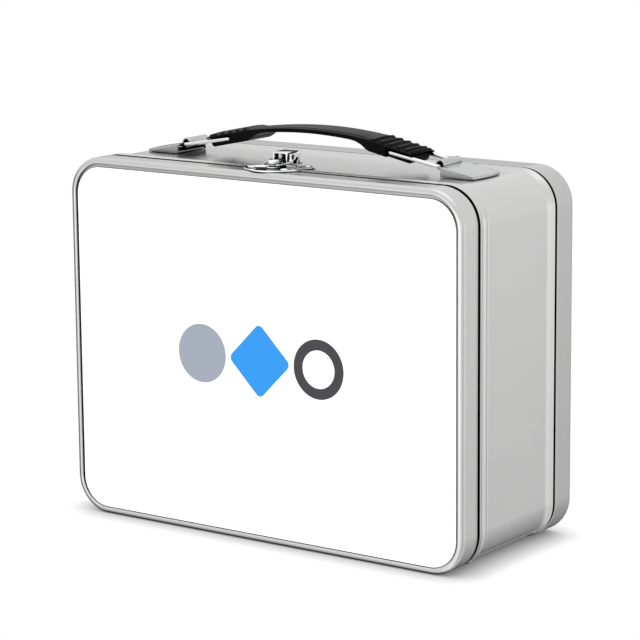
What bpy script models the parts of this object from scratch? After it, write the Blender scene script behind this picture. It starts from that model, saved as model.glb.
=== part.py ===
"""Metal lunch box with a bottom-hinged lid, a snap latch and a lifting handle.

Frame: +X to the right, +Y from the lid towards the back, +Z up.
The origin is the middle of the box's footprint, at the height it stands on.
"Depth" below is measured backwards from the front of the lid.
"Inset" is measured inwards from the box's outer outline.
"""
import math

import bmesh
import bpy
from mathutils import Vector

MM = 0.001

# The box's outside.
BOX_WIDTH = 200.0 * MM
BOX_HEIGHT = 156.3 * MM
BOX_DEPTH = 85.0 * MM
CORNER_RADIUS = 16.0 * MM
CORNER_STEPS = 6
SHEET = 0.5 * MM
GAP = 0.3 * MM

# Depths at which the lid, the band and the back cover end.
LID_EDGE_DEPTH = 11.4 * MM
SEAM_DEPTH = 12.0 * MM
BAND_START_DEPTH = 12.7 * MM
BAND_END_DEPTH = 70.1 * MM
COVER_START_DEPTH = 71.7 * MM
NECK_REACH = 8.0 * MM
WALL_INSET = 1.2 * MM
LID_NECK_INSET = 1.5 * MM
COVER_NECK_INSET = 1.1 * MM

# The band's front step and bead, and its rear flare. Along the bottom the step
# lies deeper, to let the lid's edge swing past it.
STEP_INSET = 0.15 * MM
STEP_RUN = 0.3 * MM
STEP_BOTTOM_INSET = 1.05 * MM
BEAD_START_DEPTH = 15.0 * MM
BEAD_START_INSET = 0.25 * MM
BEAD_BOTTOM_INSET = 0.75 * MM
BEAD_DEPTH = 17.3 * MM
BEAD_INSET = 0.05 * MM
BEAD_END_DEPTH = 19.7 * MM
BEAD_END_INSET = 1.3 * MM
FLARE_START_DEPTH = 65.4 * MM
FLARE_CREST_DEPTH = 69.4 * MM
FLARE_CREST_INSET = 0.14 * MM

# The rounded rim of the lid and of the back cover.
RIM_RADIUS = 2.1 * MM
RIM_WIDTH = 2.8 * MM
RIM_INNER_RADIUS = 0.6 * MM
RECESS_DEPTH = 1.6 * MM
HEM_LENGTH = 2.3 * MM
HEM_DROP = 0.45 * MM
HEM_INSET = 0.9 * MM
HEM_FOLD = 1.4 * MM
PANEL_INSET = 3.6 * MM
PANEL_DROP = 0.6 * MM
PANEL_DEPTH = 0.7 * MM
PANEL_THICKNESS = 0.6 * MM

# The shallow line pressed round the flat back.
BACK_LINE_INSET = 6.0 * MM
BACK_LINE_WIDTH = 1.2 * MM
BACK_LINE_DEPTH = 0.4 * MM

# The bottom hinges.
HINGE_HEIGHT = 1.2 * MM
HINGE_SIDE_OFFSET = 52.0 * MM
HINGE_LENGTH = 28.0 * MM
KNUCKLE_RADIUS = 1.2 * MM
KNUCKLE_BORE = 0.65 * MM
HINGE_PIN_RADIUS = 0.5 * MM
LEAF_THICKNESS = 0.4 * MM
LEAF_PLAY = 0.2 * MM
HINGE_WINDOW_TOP = 3.4 * MM
LID_WINDOW_DEPTH = 9.4 * MM
LID_LEAF_START_DEPTH = 3.4 * MM
LID_LEAF_END_DEPTH = 10.3 * MM
LID_LEAF_DROP = 0.45 * MM
BODY_LEAF_START_DEPTH = 13.9 * MM
BODY_LEAF_END_DEPTH = 22.0 * MM

# The handle, its wire rings and their brackets.
HANDLE_Y = 1.1 * MM
GRIP_HALF_WIDTH = 8.7 * MM
GRIP_HALF_LENGTH = 52.6 * MM
GRIP_TOP = 170.7 * MM
GRIP_UNDERSIDE = 168.45 * MM
GRIP_BLOCK_HALF_WIDTH = 6.7 * MM
GRIP_ARCH_DROP = 2.3 * MM
GRIP_SLOPE = 0.213
GRIP_CREST_START = 168.9 * MM
GRIP_HEEL_X = 31.4 * MM
GRIP_HEEL_Z = 163.1 * MM
GRIP_DECK_SHOULDER_Z = 165.2 * MM
GRIP_DECK_END_Z = 162.9 * MM
RIDGE_COUNT = 5
RIDGE_PITCH = 4.0 * MM
RIDGE_START = 33.0 * MM
RIDGE_HEIGHT = 0.7 * MM
WIRE_RADIUS = 0.8 * MM
WIRE_BEND = 1.2 * MM
RING_ARM_Y = 7.9 * MM
RING_PIVOT_X = 65.3 * MM
RING_PIVOT_Z = 159.25 * MM
RING_HOOK_X = 41.2 * MM
RING_HOOK_Z = 163.4 * MM
RING_HOOK_LENGTH = 4.5 * MM
RING_TRAVEL = 2.9 * MM
STRAP_HALF_LENGTH = 18.0 * MM
STRAP_UNDERSIDE_DROP = 0.8 * MM
JAW_START_X = 36.0 * MM
JAW_CORNER_X = 50.2 * MM
GRIP_END_ROUNDING = 0.8 * MM
BARREL_Z = 159.9 * MM
BARREL_RADIUS = 2.15 * MM
BARREL_BORE = 1.6 * MM
BARREL_HALF_LENGTH = 6.6 * MM
BRACKET_HALF_WIDTH = 10.1 * MM
BRACKET_INNER_X = 67.6 * MM
BRACKET_OUTER_X = 84.2 * MM
BRACKET_THICKNESS = 0.8 * MM
BRACKET_TOP = 159.5 * MM
BRACKET_LIP_Z = 156.7 * MM
BRACKET_OVERHANG = 0.7 * MM
BRACKET_FLOOR_END_X = 76.2 * MM
BRACKET_RIVET_X = 72.6 * MM
BRACKET_RIVET_SPREAD = 5.2 * MM

# The latch.
CATCH_HALF_LENGTH = 13.2 * MM
CATCH_TIP_DEPTH = 10.6 * MM
CATCH_FRONT_DEPTH = 0.5 * MM
CATCH_REAR_DEPTH = 15.9 * MM
CATCH_BASE = 156.4 * MM
CATCH_FLOOR = 156.75 * MM
CATCH_RIM_TOP = 157.1 * MM
CATCH_RIM_WIDTH = 0.8 * MM
CATCH_RIVET_X = 8.2 * MM
CATCH_RIVET_DEPTH = 8.3 * MM
STUD_FOOT_RADIUS = 3.1 * MM
STUD_NECK_RADIUS = 1.7 * MM
STUD_HEAD_RADIUS = 2.6 * MM
STUD_TOP = 160.3 * MM
FORK_BASE = 158.0 * MM
FORK_THICKNESS = 0.6 * MM
FORK_TIP_DEPTH = 9.4 * MM
FORK_HALF_WIDTH = 3.9 * MM
FORK_SLOT_HALF_WIDTH = 2.9 * MM
LEVER_HALF_WIDTH = 3.6 * MM
LEVER_FRONT_DEPTH = 16.5 * MM
LEVER_BACK_DEPTH = 26.4 * MM
LEVER_TOP = 162.7 * MM
LEVER_BOTTOM = 157.2 * MM
LEVER_BACK_RADIUS = 1.6 * MM
LEVER_WINDOW_START_DEPTH = 19.9 * MM
LEVER_WINDOW_END_DEPTH = 21.9 * MM
LEVER_WINDOW_LOW = 159.4 * MM
LEVER_WINDOW_HIGH = 161.4 * MM
LATCH_SHEET = 0.6 * MM
LATCH_PIN_DEPTH = 24.5 * MM
LATCH_PIN_Z = 158.3 * MM
LATCH_PIN_RADIUS = 0.6 * MM
LATCH_PIN_HALF_LENGTH = 5.6 * MM
LATCH_PIN_HEAD_START = 5.0 * MM
LATCH_PIN_HEAD_RADIUS = 1.0 * MM
LATCH_PIN_CLEARANCE = 0.1 * MM
LATCH_BASE_HALF_LENGTH = 10.0 * MM
LATCH_BASE_FRONT_DEPTH = 20.4 * MM
LATCH_BASE_END_RADIUS = 2.9 * MM
EAR_INSIDE_X = 4.2 * MM
EAR_FOOT_HALF = 2.6 * MM
EAR_SHOULDER_HALF = 1.9 * MM
EAR_RADIUS = 1.6 * MM
LATCH_RIVET_X = 7.2 * MM
LATCH_RIVET_DEPTH = 26.6 * MM

# Rivets: radii, and the clearance of the holes they pass through.
RIVET_SHANK = 0.9 * MM
RIVET_HEAD = 1.7 * MM
RIVET_HEAD_HEIGHT = 0.7 * MM
RIVET_TAIL = 1.4 * MM
RIVET_TAIL_HEIGHT = 0.4 * MM
HOLE_CLEARANCE = 0.15 * MM

# How far cutters reach past the surfaces they cut.
CUT_MARGIN = 1.0 * MM

BAND_TOP = BOX_HEIGHT - WALL_INSET
SHARP_ANGLE = math.radians(35.0)


# ---------------------------------------------------------------- materials

def make_material(name, colour, roughness, metallic):
    material = bpy.data.materials.new(name)
    material.use_nodes = True
    shader = material.node_tree.nodes["Principled BSDF"]
    shader.inputs["Base Color"].default_value = (*colour, 1.0)
    shader.inputs["Roughness"].default_value = roughness
    shader.inputs["Metallic"].default_value = metallic
    return material


def tinplate(name):
    return make_material(name, (0.56, 0.56, 0.57), 0.32, 1.0)


def chrome(name):
    return make_material(name, (0.80, 0.80, 0.82), 0.08, 1.0)


def white_coating(name):
    return make_material(name, (0.93, 0.93, 0.93), 0.25, 0.0)


def black_plastic(name):
    return make_material(name, (0.012, 0.012, 0.013), 0.35, 0.0)


# ------------------------------------------------------------ mesh helpers

def depth_to_y(depth):
    return depth - BOX_DEPTH / 2.0


def finish_object(name, mesh_builder, material):
    """Turn a bmesh into a named, smooth-shaded object with outward faces."""
    bmesh.ops.recalc_face_normals(mesh_builder, faces=mesh_builder.faces)
    mesh = bpy.data.meshes.new(name)
    mesh_builder.to_mesh(mesh)
    mesh_builder.free()
    mesh.shade_smooth()
    mesh.set_sharp_from_angle(angle=SHARP_ANGLE)
    if material is not None:
        mesh.materials.append(material)
    part = bpy.data.objects.new(name, mesh)
    bpy.context.scene.collection.objects.link(part)
    return part


def bridge_rings(mesh_builder, rings, closed):
    """Join successive rings of vertices with quads; close or cap the ends."""
    vertex_rings = [[mesh_builder.verts.new(point) for point in ring] for ring in rings]
    count = len(vertex_rings[0])
    pairs = list(zip(vertex_rings, vertex_rings[1:]))
    if closed:
        pairs.append((vertex_rings[-1], vertex_rings[0]))
    for first, second in pairs:
        for index in range(count):
            following = (index + 1) % count
            corners = (first[index], first[following], second[following], second[index])
            mesh_builder.faces.new(corners)
    if not closed:
        mesh_builder.faces.new(vertex_rings[0])
        mesh_builder.faces.new(vertex_rings[-1])


def arc(centre_u, centre_v, radius, start_degrees, end_degrees, steps):
    """Points along a circular arc in a plane."""
    points = []
    for step in range(steps + 1):
        share = step / steps
        angle = math.radians(start_degrees + (end_degrees - start_degrees) * share)
        points.append((centre_u + radius * math.cos(angle), centre_v + radius * math.sin(angle)))
    return points


def outline_ring(inset, depth, bottom_inset=None):
    """The box's rounded-rectangle outline, set in by an inset, at a depth.

    A bottom inset moves only the straight bottom edge.
    """
    half_width = BOX_WIDTH / 2.0 - CORNER_RADIUS
    low = CORNER_RADIUS
    high = BOX_HEIGHT - CORNER_RADIUS
    radius = CORNER_RADIUS - inset
    outline = arc(half_width, high, radius, 0.0, 90.0, CORNER_STEPS)
    outline += arc(-half_width, high, radius, 90.0, 180.0, CORNER_STEPS)
    outline += arc(-half_width, low, radius, 180.0, 270.0, CORNER_STEPS)
    outline += arc(half_width, low, radius, 270.0, 360.0, CORNER_STEPS)
    if bottom_inset is not None:
        bottom_left = 3 * (CORNER_STEPS + 1) - 1
        for index in (bottom_left, bottom_left + 1):
            outline[index] = (outline[index][0], bottom_inset)
    return [Vector((x, depth_to_y(depth), z)) for x, z in outline]


def sweep_outline(name, profile, closed, material):
    """Sweep (inset, depth) or (inset, depth, bottom inset) points round the outline."""
    mesh_builder = bmesh.new()
    rings = [outline_ring(*point) for point in profile]
    bridge_rings(mesh_builder, rings, closed)
    return finish_object(name, mesh_builder, material)


def prism(name, outline, axis, low, high, material=None):
    """Extrude a flat outline along X, Y or Z, from low to high.

    The outline's two coordinates are the two other axes, in X, Y, Z order.
    """
    mesh_builder = bmesh.new()
    rings = []
    for level in (low, high):
        ring = []
        for first, second in outline:
            coordinates = [first, second]
            coordinates.insert("XYZ".index(axis), level)
            ring.append(Vector(coordinates))
        rings.append(ring)
    bridge_rings(mesh_builder, rings, closed=False)
    return finish_object(name, mesh_builder, material)


def block(name, x_span, y_span, z_span, material=None):
    x_low, x_high = x_span
    y_low, y_high = y_span
    outline = [(x_low, y_low), (x_high, y_low), (x_high, y_high), (x_low, y_high)]
    return prism(name, outline, "Z", z_span[0], z_span[1], material)


def rod(name, centre, radius, axis, low, high, steps=16, material=None):
    """A cylinder along an axis; centre holds the two other coordinates."""
    outline = arc(centre[0], centre[1], radius, 0.0, 360.0, steps)[:-1]
    return prism(name, outline, axis, low, high, material)


def turned(name, profile, x, y, material, steps=20):
    """Revolve a profile of (radius, z) points about a vertical axis."""
    mesh_builder = bmesh.new()
    rings = []
    for radius, z in profile:
        outline = arc(x, y, radius, 0.0, 360.0, steps)[:-1]
        rings.append([Vector((u, v, z)) for u, v in outline])
    bridge_rings(mesh_builder, rings, closed=False)
    return finish_object(name, mesh_builder, material)


def wire(name, path, radius, material, steps=10):
    """Sweep a circle along a path of points; every bend is already rounded."""
    mesh_builder = bmesh.new()
    rings = []
    previous_normal = None
    for index, point in enumerate(path):
        before = path[max(index - 1, 0)]
        after = path[min(index + 1, len(path) - 1)]
        tangent = (after - before).normalized()
        if previous_normal is None:
            previous_normal = tangent.orthogonal().normalized()
        normal = (previous_normal - tangent * previous_normal.dot(tangent)).normalized()
        previous_normal = normal
        binormal = tangent.cross(normal)
        circle = arc(0.0, 0.0, radius, 0.0, 360.0, steps)[:-1]
        rings.append([point + normal * u + binormal * v for u, v in circle])
    bridge_rings(mesh_builder, rings, closed=False)
    return finish_object(name, mesh_builder, material)


def rounded_path(corners, radius, steps=4):
    """Replace each inner corner of a path by an arc of the given radius."""
    path = [corners[0]]
    for before, corner, after in zip(corners, corners[1:], corners[2:]):
        incoming = (before - corner).normalized()
        outgoing = (after - corner).normalized()
        half_angle = incoming.angle(outgoing) / 2.0
        centre = corner + (incoming + outgoing).normalized() * (radius / math.sin(half_angle))
        reach = radius / math.tan(half_angle)
        start = (corner + incoming * reach - centre).normalized()
        end = (corner + outgoing * reach - centre).normalized()
        for step in range(steps + 1):
            path.append(centre + start.slerp(end, step / steps) * radius)
    path.append(corners[-1])
    return path


def combine(part, helper, operation):
    """Cut a helper from a part, or join it on, with a Boolean modifier."""
    helper.hide_render = True
    helper.display_type = "WIRE"
    modifier = part.modifiers.new(helper.name, "BOOLEAN")
    modifier.operation = operation
    modifier.solver = "EXACT"
    modifier.object = helper
    return part


def cut(part, helper):
    return combine(part, helper, "DIFFERENCE")


def join(part, helper):
    return combine(part, helper, "UNION")


def drill(part, name, x, y, low, high):
    """A rivet hole along Z."""
    hole = rod(name, (x, y), RIVET_SHANK + HOLE_CLEARANCE, "Z", low, high, steps=12)
    return cut(part, hole)


def set_origin(part, x, y, z):
    """Move a part's origin to a point without moving its shape."""
    offset = Vector((x, y, z))
    for vertex in part.data.vertices:
        vertex.co -= offset
    part.location = offset


# ----------------------------------------------------------- the box shells

def rim_profile(thickness_inset):
    """The rounded rim from its inner foot to the side wall, as (inset, depth)."""
    inner_centre = RIM_WIDTH - RIM_INNER_RADIUS
    inner = arc(inner_centre, RIM_INNER_RADIUS, RIM_INNER_RADIUS - thickness_inset, 0.0, -90.0, 3)
    outer = arc(RIM_RADIUS, RIM_RADIUS, RIM_RADIUS - thickness_inset, 270.0, 180.0, 5)
    return inner + outer


def hinge_spans():
    """Left and right hinge positions along X."""
    for side, sign in (("left", -1.0), ("right", 1.0)):
        centre = sign * HINGE_SIDE_OFFSET
        yield side, centre - HINGE_LENGTH / 2.0, centre + HINGE_LENGTH / 2.0


def cut_hinge_windows(part, depth_low, depth_high):
    """Openings at the bottom edge that the hinge knuckles turn in."""
    for side, low, high in hinge_spans():
        window = block(
            f"{part.name}_hinge_window_{side}",
            (low - 2.0 * GAP, high + 2.0 * GAP),
            (depth_to_y(depth_low), depth_to_y(depth_high)),
            (-CUT_MARGIN, HINGE_WINDOW_TOP),
        )
        cut(part, window)


def hem_profile():
    """The lid's side rolling gently inwards towards its rear edge."""
    steps = 4
    points = []
    for step in range(steps + 1):
        share = step / steps
        points.append((HEM_DROP * share * share, LID_EDGE_DEPTH - HEM_LENGTH * (1.0 - share)))
    return points


def build_lid():
    """A shallow pressed pan: rounded rim, recessed front, folded rear hem."""
    outside = [(RIM_WIDTH, RECESS_DEPTH)] + rim_profile(0.0) + hem_profile()
    inside = [
        (HEM_INSET, LID_EDGE_DEPTH - 0.1 * MM),
        (HEM_INSET, LID_EDGE_DEPTH - HEM_FOLD),
        (SHEET, LID_EDGE_DEPTH - HEM_FOLD - SHEET),
    ]
    inside += list(reversed(rim_profile(SHEET)))
    inside.append((RIM_WIDTH - SHEET, RECESS_DEPTH + SHEET))
    lid = sweep_outline("lid_shell", outside + inside, False, tinplate("lid_tinplate"))
    cut_hinge_windows(lid, LID_WINDOW_DEPTH, LID_EDGE_DEPTH + GAP)
    for side, sign in (("left", -1.0), ("right", 1.0)):
        drill(
            lid, f"lid_rivet_hole_{side}", sign * CATCH_RIVET_X, depth_to_y(CATCH_RIVET_DEPTH),
            BOX_HEIGHT - 2.0 * CUT_MARGIN, BOX_HEIGHT + CUT_MARGIN,
        )
    set_origin(lid, 0.0, depth_to_y(SEAM_DEPTH), HINGE_HEIGHT)
    return lid


def build_front_panel():
    """The white coated plate that lies in the lid's recess."""
    profile = [
        (PANEL_INSET, PANEL_DEPTH),
        (PANEL_INSET, PANEL_DEPTH + PANEL_THICKNESS),
    ]
    panel = sweep_outline("front_panel", profile, False, white_coating("panel_white"))
    for vertex in panel.data.vertices:
        vertex.co.z -= PANEL_DROP
    set_origin(panel, 0.0, depth_to_y(SEAM_DEPTH), HINGE_HEIGHT)
    return panel


def band_side(wall):
    """One side of the band from neck to neck; wall is its distance from the outside."""
    neck_front = BAND_START_DEPTH - NECK_REACH
    front_step = BAND_START_DEPTH + 0.8 * wall
    rear_step = BAND_END_DEPTH - 0.8 * wall
    step_bottom = STEP_BOTTOM_INSET + wall
    bead_bottom = BEAD_BOTTOM_INSET + wall
    points = [
        (LID_NECK_INSET + 0.2 * MM, neck_front),
        (LID_NECK_INSET, neck_front + 0.3 * MM),
        (LID_NECK_INSET, front_step),
        (STEP_INSET, front_step + STEP_RUN, step_bottom),
        (BEAD_START_INSET, BEAD_START_DEPTH, bead_bottom),
        (BEAD_INSET, BEAD_DEPTH),
        (0.5 * (BEAD_INSET + BEAD_END_INSET), BEAD_END_DEPTH - 0.8 * MM),
        (BEAD_END_INSET, BEAD_END_DEPTH),
        (WALL_INSET, BEAD_END_DEPTH + 0.8 * MM),
        (WALL_INSET, FLARE_START_DEPTH),
        (0.5 * (WALL_INSET + FLARE_CREST_INSET), 0.5 * (FLARE_START_DEPTH + FLARE_CREST_DEPTH)),
        (FLARE_CREST_INSET, FLARE_CREST_DEPTH),
        (2.0 * FLARE_CREST_INSET, rear_step),
        (COVER_NECK_INSET, rear_step + 0.1 * MM),
        (COVER_NECK_INSET, COVER_START_DEPTH + NECK_REACH),
    ]
    return [(inset + wall, depth, *bottom) for inset, depth, *bottom in points]


def build_band():
    """The body's side wall, bent round from one strip of sheet."""
    profile = band_side(0.0) + list(reversed(band_side(SHEET)))
    band = sweep_outline("body_band", profile, True, tinplate("band_tinplate"))
    cut_hinge_windows(band, LID_LEAF_END_DEPTH, BODY_LEAF_START_DEPTH)
    top = (BAND_TOP - 3.0 * CUT_MARGIN, BAND_TOP + CUT_MARGIN)
    for side, sign in (("left", -1.0), ("right", 1.0)):
        drill(
            band, f"band_latch_hole_{side}", sign * LATCH_RIVET_X,
            depth_to_y(LATCH_RIVET_DEPTH), *top,
        )
        for row, spread in (("front", -1.0), ("rear", 1.0)):
            y = HANDLE_Y + spread * BRACKET_RIVET_SPREAD
            drill(band, f"band_hole_{side}_{row}", sign * BRACKET_RIVET_X, y, *top)
    return band


def build_back_cover():
    """The fixed rear pan, with a shallow pressed line round its flat back."""
    def from_back(points):
        return [(inset, BOX_DEPTH - depth) for inset, depth in points]

    def pressed_line(wall):
        return [
            (BACK_LINE_INSET + 2.0 * BACK_LINE_WIDTH, wall),
            (BACK_LINE_INSET + 1.5 * BACK_LINE_WIDTH, wall + BACK_LINE_DEPTH),
            (BACK_LINE_INSET + 0.5 * BACK_LINE_WIDTH, wall + BACK_LINE_DEPTH),
            (BACK_LINE_INSET, wall),
        ]

    outside = pressed_line(0.0)
    outside += arc(RIM_RADIUS, RIM_RADIUS, RIM_RADIUS, 270.0, 180.0, 5)
    edge = BOX_DEPTH - COVER_START_DEPTH
    outside.append((0.0, edge - SHEET))
    outside.append((0.15 * MM, edge - 0.1 * MM))
    outside.append((SHEET * 0.7, edge))
    inside = [(SHEET * 1.2, edge)]
    inside.append((SHEET, edge - 0.4 * MM))
    inside += arc(RIM_RADIUS, RIM_RADIUS, RIM_RADIUS - SHEET, 180.0, 270.0, 5)
    inside += list(reversed(pressed_line(SHEET)))
    profile = from_back(outside + inside)
    return sweep_outline("back_cover", profile, False, tinplate("cover_tinplate"))


# -------------------------------------------------------------- the hinges

def knuckle(name, low, high, material=None):
    centre = (depth_to_y(SEAM_DEPTH), HINGE_HEIGHT)
    return rod(name, centre, KNUCKLE_RADIUS, "X", low, high, 16, material)


def build_hinge(side, low, high):
    """One butt hinge: a body leaf, a lid leaf and the pin through both."""
    third = HINGE_LENGTH / 3.0
    seam_y = depth_to_y(SEAM_DEPTH)
    bore_span = (low - CUT_MARGIN, high + CUT_MARGIN)

    steel = tinplate(f"hinge_steel_{side}")
    body_z = HINGE_HEIGHT + KNUCKLE_RADIUS - 0.05 * MM - LEAF_THICKNESS
    body_leaf = block(
        f"hinge_body_leaf_{side}", (low, high),
        (depth_to_y(BODY_LEAF_START_DEPTH), depth_to_y(BODY_LEAF_END_DEPTH)),
        (body_z, body_z + LEAF_THICKNESS), steel,
    )
    ends = (("a", low, low + third - LEAF_PLAY), ("b", high - third + LEAF_PLAY, high))
    for end, start, stop in ends:
        join(body_leaf, knuckle(f"body_knuckle_{side}_{end}", start, stop))
        tongue = block(
            f"body_tongue_{side}_{end}", (start, stop),
            (seam_y, depth_to_y(BODY_LEAF_START_DEPTH) + GAP),
            (body_z, body_z + LEAF_THICKNESS),
        )
        join(body_leaf, tongue)

    lid_z = HINGE_HEIGHT - LID_LEAF_DROP
    lid_leaf = block(
        f"hinge_lid_leaf_{side}", (low, high),
        (depth_to_y(LID_LEAF_START_DEPTH), depth_to_y(LID_LEAF_END_DEPTH)),
        (lid_z, lid_z + LEAF_THICKNESS), steel,
    )
    middle = (low + third + LEAF_PLAY, high - third - LEAF_PLAY)
    join(lid_leaf, knuckle(f"lid_knuckle_{side}", *middle))
    tongue = block(
        f"lid_tongue_{side}", middle,
        (depth_to_y(LID_LEAF_END_DEPTH - 0.2 * MM), depth_to_y(LID_EDGE_DEPTH - GAP)),
        (lid_z, lid_z + LEAF_THICKNESS),
    )
    join(lid_leaf, tongue)

    for leaf in (body_leaf, lid_leaf):
        bore = rod(f"{leaf.name}_bore", (seam_y, HINGE_HEIGHT), KNUCKLE_BORE, "X", *bore_span)
        cut(leaf, bore)

    rod(
        f"hinge_pin_{side}", (seam_y, HINGE_HEIGHT), HINGE_PIN_RADIUS, "X", low, high, 12,
        chrome(f"hinge_pin_steel_{side}"),
    )


# ------------------------------------------------------------------ rivets

def rivet(name, x, y, top, bottom, material):
    """A domed rivet: its head sits on top, its tail is upset below bottom."""
    head_base = top + 0.5 * GAP
    tail_top = bottom - 0.5 * GAP
    profile = [
        (RIVET_TAIL * 0.8, tail_top - RIVET_TAIL_HEIGHT),
        (RIVET_TAIL, tail_top),
        (RIVET_SHANK, tail_top),
        (RIVET_SHANK, head_base),
        (RIVET_HEAD, head_base),
        (RIVET_HEAD * 0.92, head_base + RIVET_HEAD_HEIGHT * 0.45),
        (RIVET_HEAD * 0.65, head_base + RIVET_HEAD_HEIGHT * 0.85),
        (RIVET_HEAD * 0.25, head_base + RIVET_HEAD_HEIGHT),
    ]
    return turned(name, profile, x, y, material, steps=12)


# ------------------------------------------------------ brackets and rings

def bracket_slope():
    """How far the top plate falls for each unit of length."""
    run = BRACKET_OUTER_X - BRACKET_THICKNESS - BRACKET_INNER_X
    return (BRACKET_TOP - BRACKET_LIP_Z) / run


def bracket_section():
    """The sloping top plate and its outer lip, as (x, z) points."""
    foot = BAND_TOP + GAP
    thick = BRACKET_THICKNESS
    rise = BRACKET_OVERHANG * bracket_slope()
    return [
        (BRACKET_INNER_X - BRACKET_OVERHANG, BRACKET_TOP + rise),
        (BRACKET_OUTER_X - thick, BRACKET_LIP_Z),
        (BRACKET_OUTER_X - 0.25 * thick, BRACKET_LIP_Z - 0.5 * thick),
        (BRACKET_OUTER_X, foot + 0.3 * thick),
        (BRACKET_OUTER_X, foot),
        (BRACKET_OUTER_X - thick, foot),
        (BRACKET_OUTER_X - 1.5 * thick, BRACKET_LIP_Z - thick),
        (BRACKET_INNER_X - BRACKET_OVERHANG, BRACKET_TOP + rise - thick),
    ]


def gusset_outline():
    """A triangular side wall under the top plate, as (x, z) points."""
    foot = BAND_TOP + GAP
    half_sheet = 0.5 * BRACKET_THICKNESS
    outer_x = BRACKET_OUTER_X - BRACKET_THICKNESS
    return [
        (BRACKET_INNER_X, foot),
        (outer_x, foot),
        (outer_x, BRACKET_LIP_Z - half_sheet),
        (BRACKET_INNER_X, BRACKET_TOP - half_sheet),
    ]


def build_bracket(side, sign):
    """A hollow wedge, open towards the grip, with a barrel for the ring."""
    span = (HANDLE_Y - BRACKET_HALF_WIDTH, HANDLE_Y + BRACKET_HALF_WIDTH)
    section = [(sign * x, z) for x, z in bracket_section()]
    bracket = prism(
        f"handle_bracket_{side}", section, "Y", *span, chrome(f"bracket_chrome_{side}"),
    )
    gusset = [(sign * x, z) for x, z in gusset_outline()]
    near_wall = (span[0], span[0] + BRACKET_THICKNESS)
    far_wall = (span[1] - BRACKET_THICKNESS, span[1])
    for place, wall in (("near", near_wall), ("far", far_wall)):
        join(bracket, prism(f"bracket_gusset_{side}_{place}", gusset, "Y", *wall))
    foot = BAND_TOP + GAP
    flange_top = foot + BRACKET_THICKNESS
    floor_x = sorted((sign * (BRACKET_INNER_X + 0.4 * MM), sign * BRACKET_FLOOR_END_X))
    floor_y = (span[0] + 0.5 * BRACKET_THICKNESS, span[1] - 0.5 * BRACKET_THICKNESS)
    join(bracket, block(f"bracket_floor_{side}", floor_x, floor_y, (foot, flange_top)))
    barrel_span = (HANDLE_Y - BARREL_HALF_LENGTH, HANDLE_Y + BARREL_HALF_LENGTH)
    centre = (sign * RING_PIVOT_X, BARREL_Z)
    join(bracket, rod(f"barrel_{side}", centre, BARREL_RADIUS, "Y", *barrel_span, 20))
    bore_span = (barrel_span[0] - CUT_MARGIN, barrel_span[1] + CUT_MARGIN)
    cut(bracket, rod(f"barrel_bore_{side}", centre, BARREL_BORE, "Y", *bore_span, 18))
    for row, spread in (("front", -1.0), ("rear", 1.0)):
        x = sign * BRACKET_RIVET_X
        y = HANDLE_Y + spread * BRACKET_RIVET_SPREAD
        drill(bracket, f"bracket_hole_{side}_{row}", x, y, BAND_TOP, flange_top + 0.2 * MM)
        rivet(
            f"bracket_rivet_{side}_{row}", x, y, flange_top, BAND_TOP - SHEET,
            chrome(f"bracket_rivet_steel_{side}_{row}"),
        )


def build_ring(side, sign):
    """A wire ring: through the barrel, along the grip, hooked into its slots."""
    def corner(x, y, z):
        return Vector((sign * x, HANDLE_Y + y, z))

    near_hook = RING_ARM_Y - RING_HOOK_LENGTH
    corners = [
        corner(RING_HOOK_X, -near_hook, RING_HOOK_Z),
        corner(RING_HOOK_X, -RING_ARM_Y, RING_HOOK_Z),
        corner(RING_PIVOT_X, -RING_ARM_Y, RING_PIVOT_Z),
        corner(RING_PIVOT_X, RING_ARM_Y, RING_PIVOT_Z),
        corner(RING_HOOK_X, RING_ARM_Y, RING_HOOK_Z),
        corner(RING_HOOK_X, near_hook, RING_HOOK_Z),
    ]
    path = rounded_path(corners, WIRE_BEND)
    ring = wire(f"handle_ring_{side}", path, WIRE_RADIUS, chrome(f"ring_chrome_{side}"))
    set_origin(ring, sign * RING_PIVOT_X, HANDLE_Y, RING_PIVOT_Z)
    return ring


# ---------------------------------------------------------------- the grip

def grip_crest_height(x):
    """Height of the line through the tops of the ridges."""
    return GRIP_CREST_START - GRIP_SLOPE * (x - RIDGE_START)


def grip_top_half():
    """Top of the grip from its middle to its right end, as (x, z) points."""
    points = []
    arch_end = RIDGE_START - 0.5 * RIDGE_PITCH
    steps = 10
    for step in range(steps + 1):
        share = step / steps
        points.append((arch_end * share, GRIP_TOP - GRIP_ARCH_DROP * share * share))
    ridge_shape = ((-1.3, 0.0), (-0.7, 0.8), (0.0, 1.0), (0.7, 0.8), (1.3, 0.0))
    for ridge in range(RIDGE_COUNT):
        centre = RIDGE_START + ridge * RIDGE_PITCH
        for offset, height in ridge_shape:
            x = centre + offset * MM
            valley = grip_crest_height(x) - RIDGE_HEIGHT
            points.append((x, valley + RIDGE_HEIGHT * height))
    end_crest = grip_crest_height(GRIP_HALF_LENGTH)
    points.append((GRIP_HALF_LENGTH - GRIP_END_ROUNDING, end_crest - 0.2 * GRIP_END_ROUNDING))
    points.append((GRIP_HALF_LENGTH, end_crest - GRIP_END_ROUNDING))
    return points


def grip_bottom_height(x):
    """Underside of the thick ends."""
    return GRIP_HEEL_Z - GRIP_SLOPE * (x - GRIP_HEEL_X)


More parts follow.
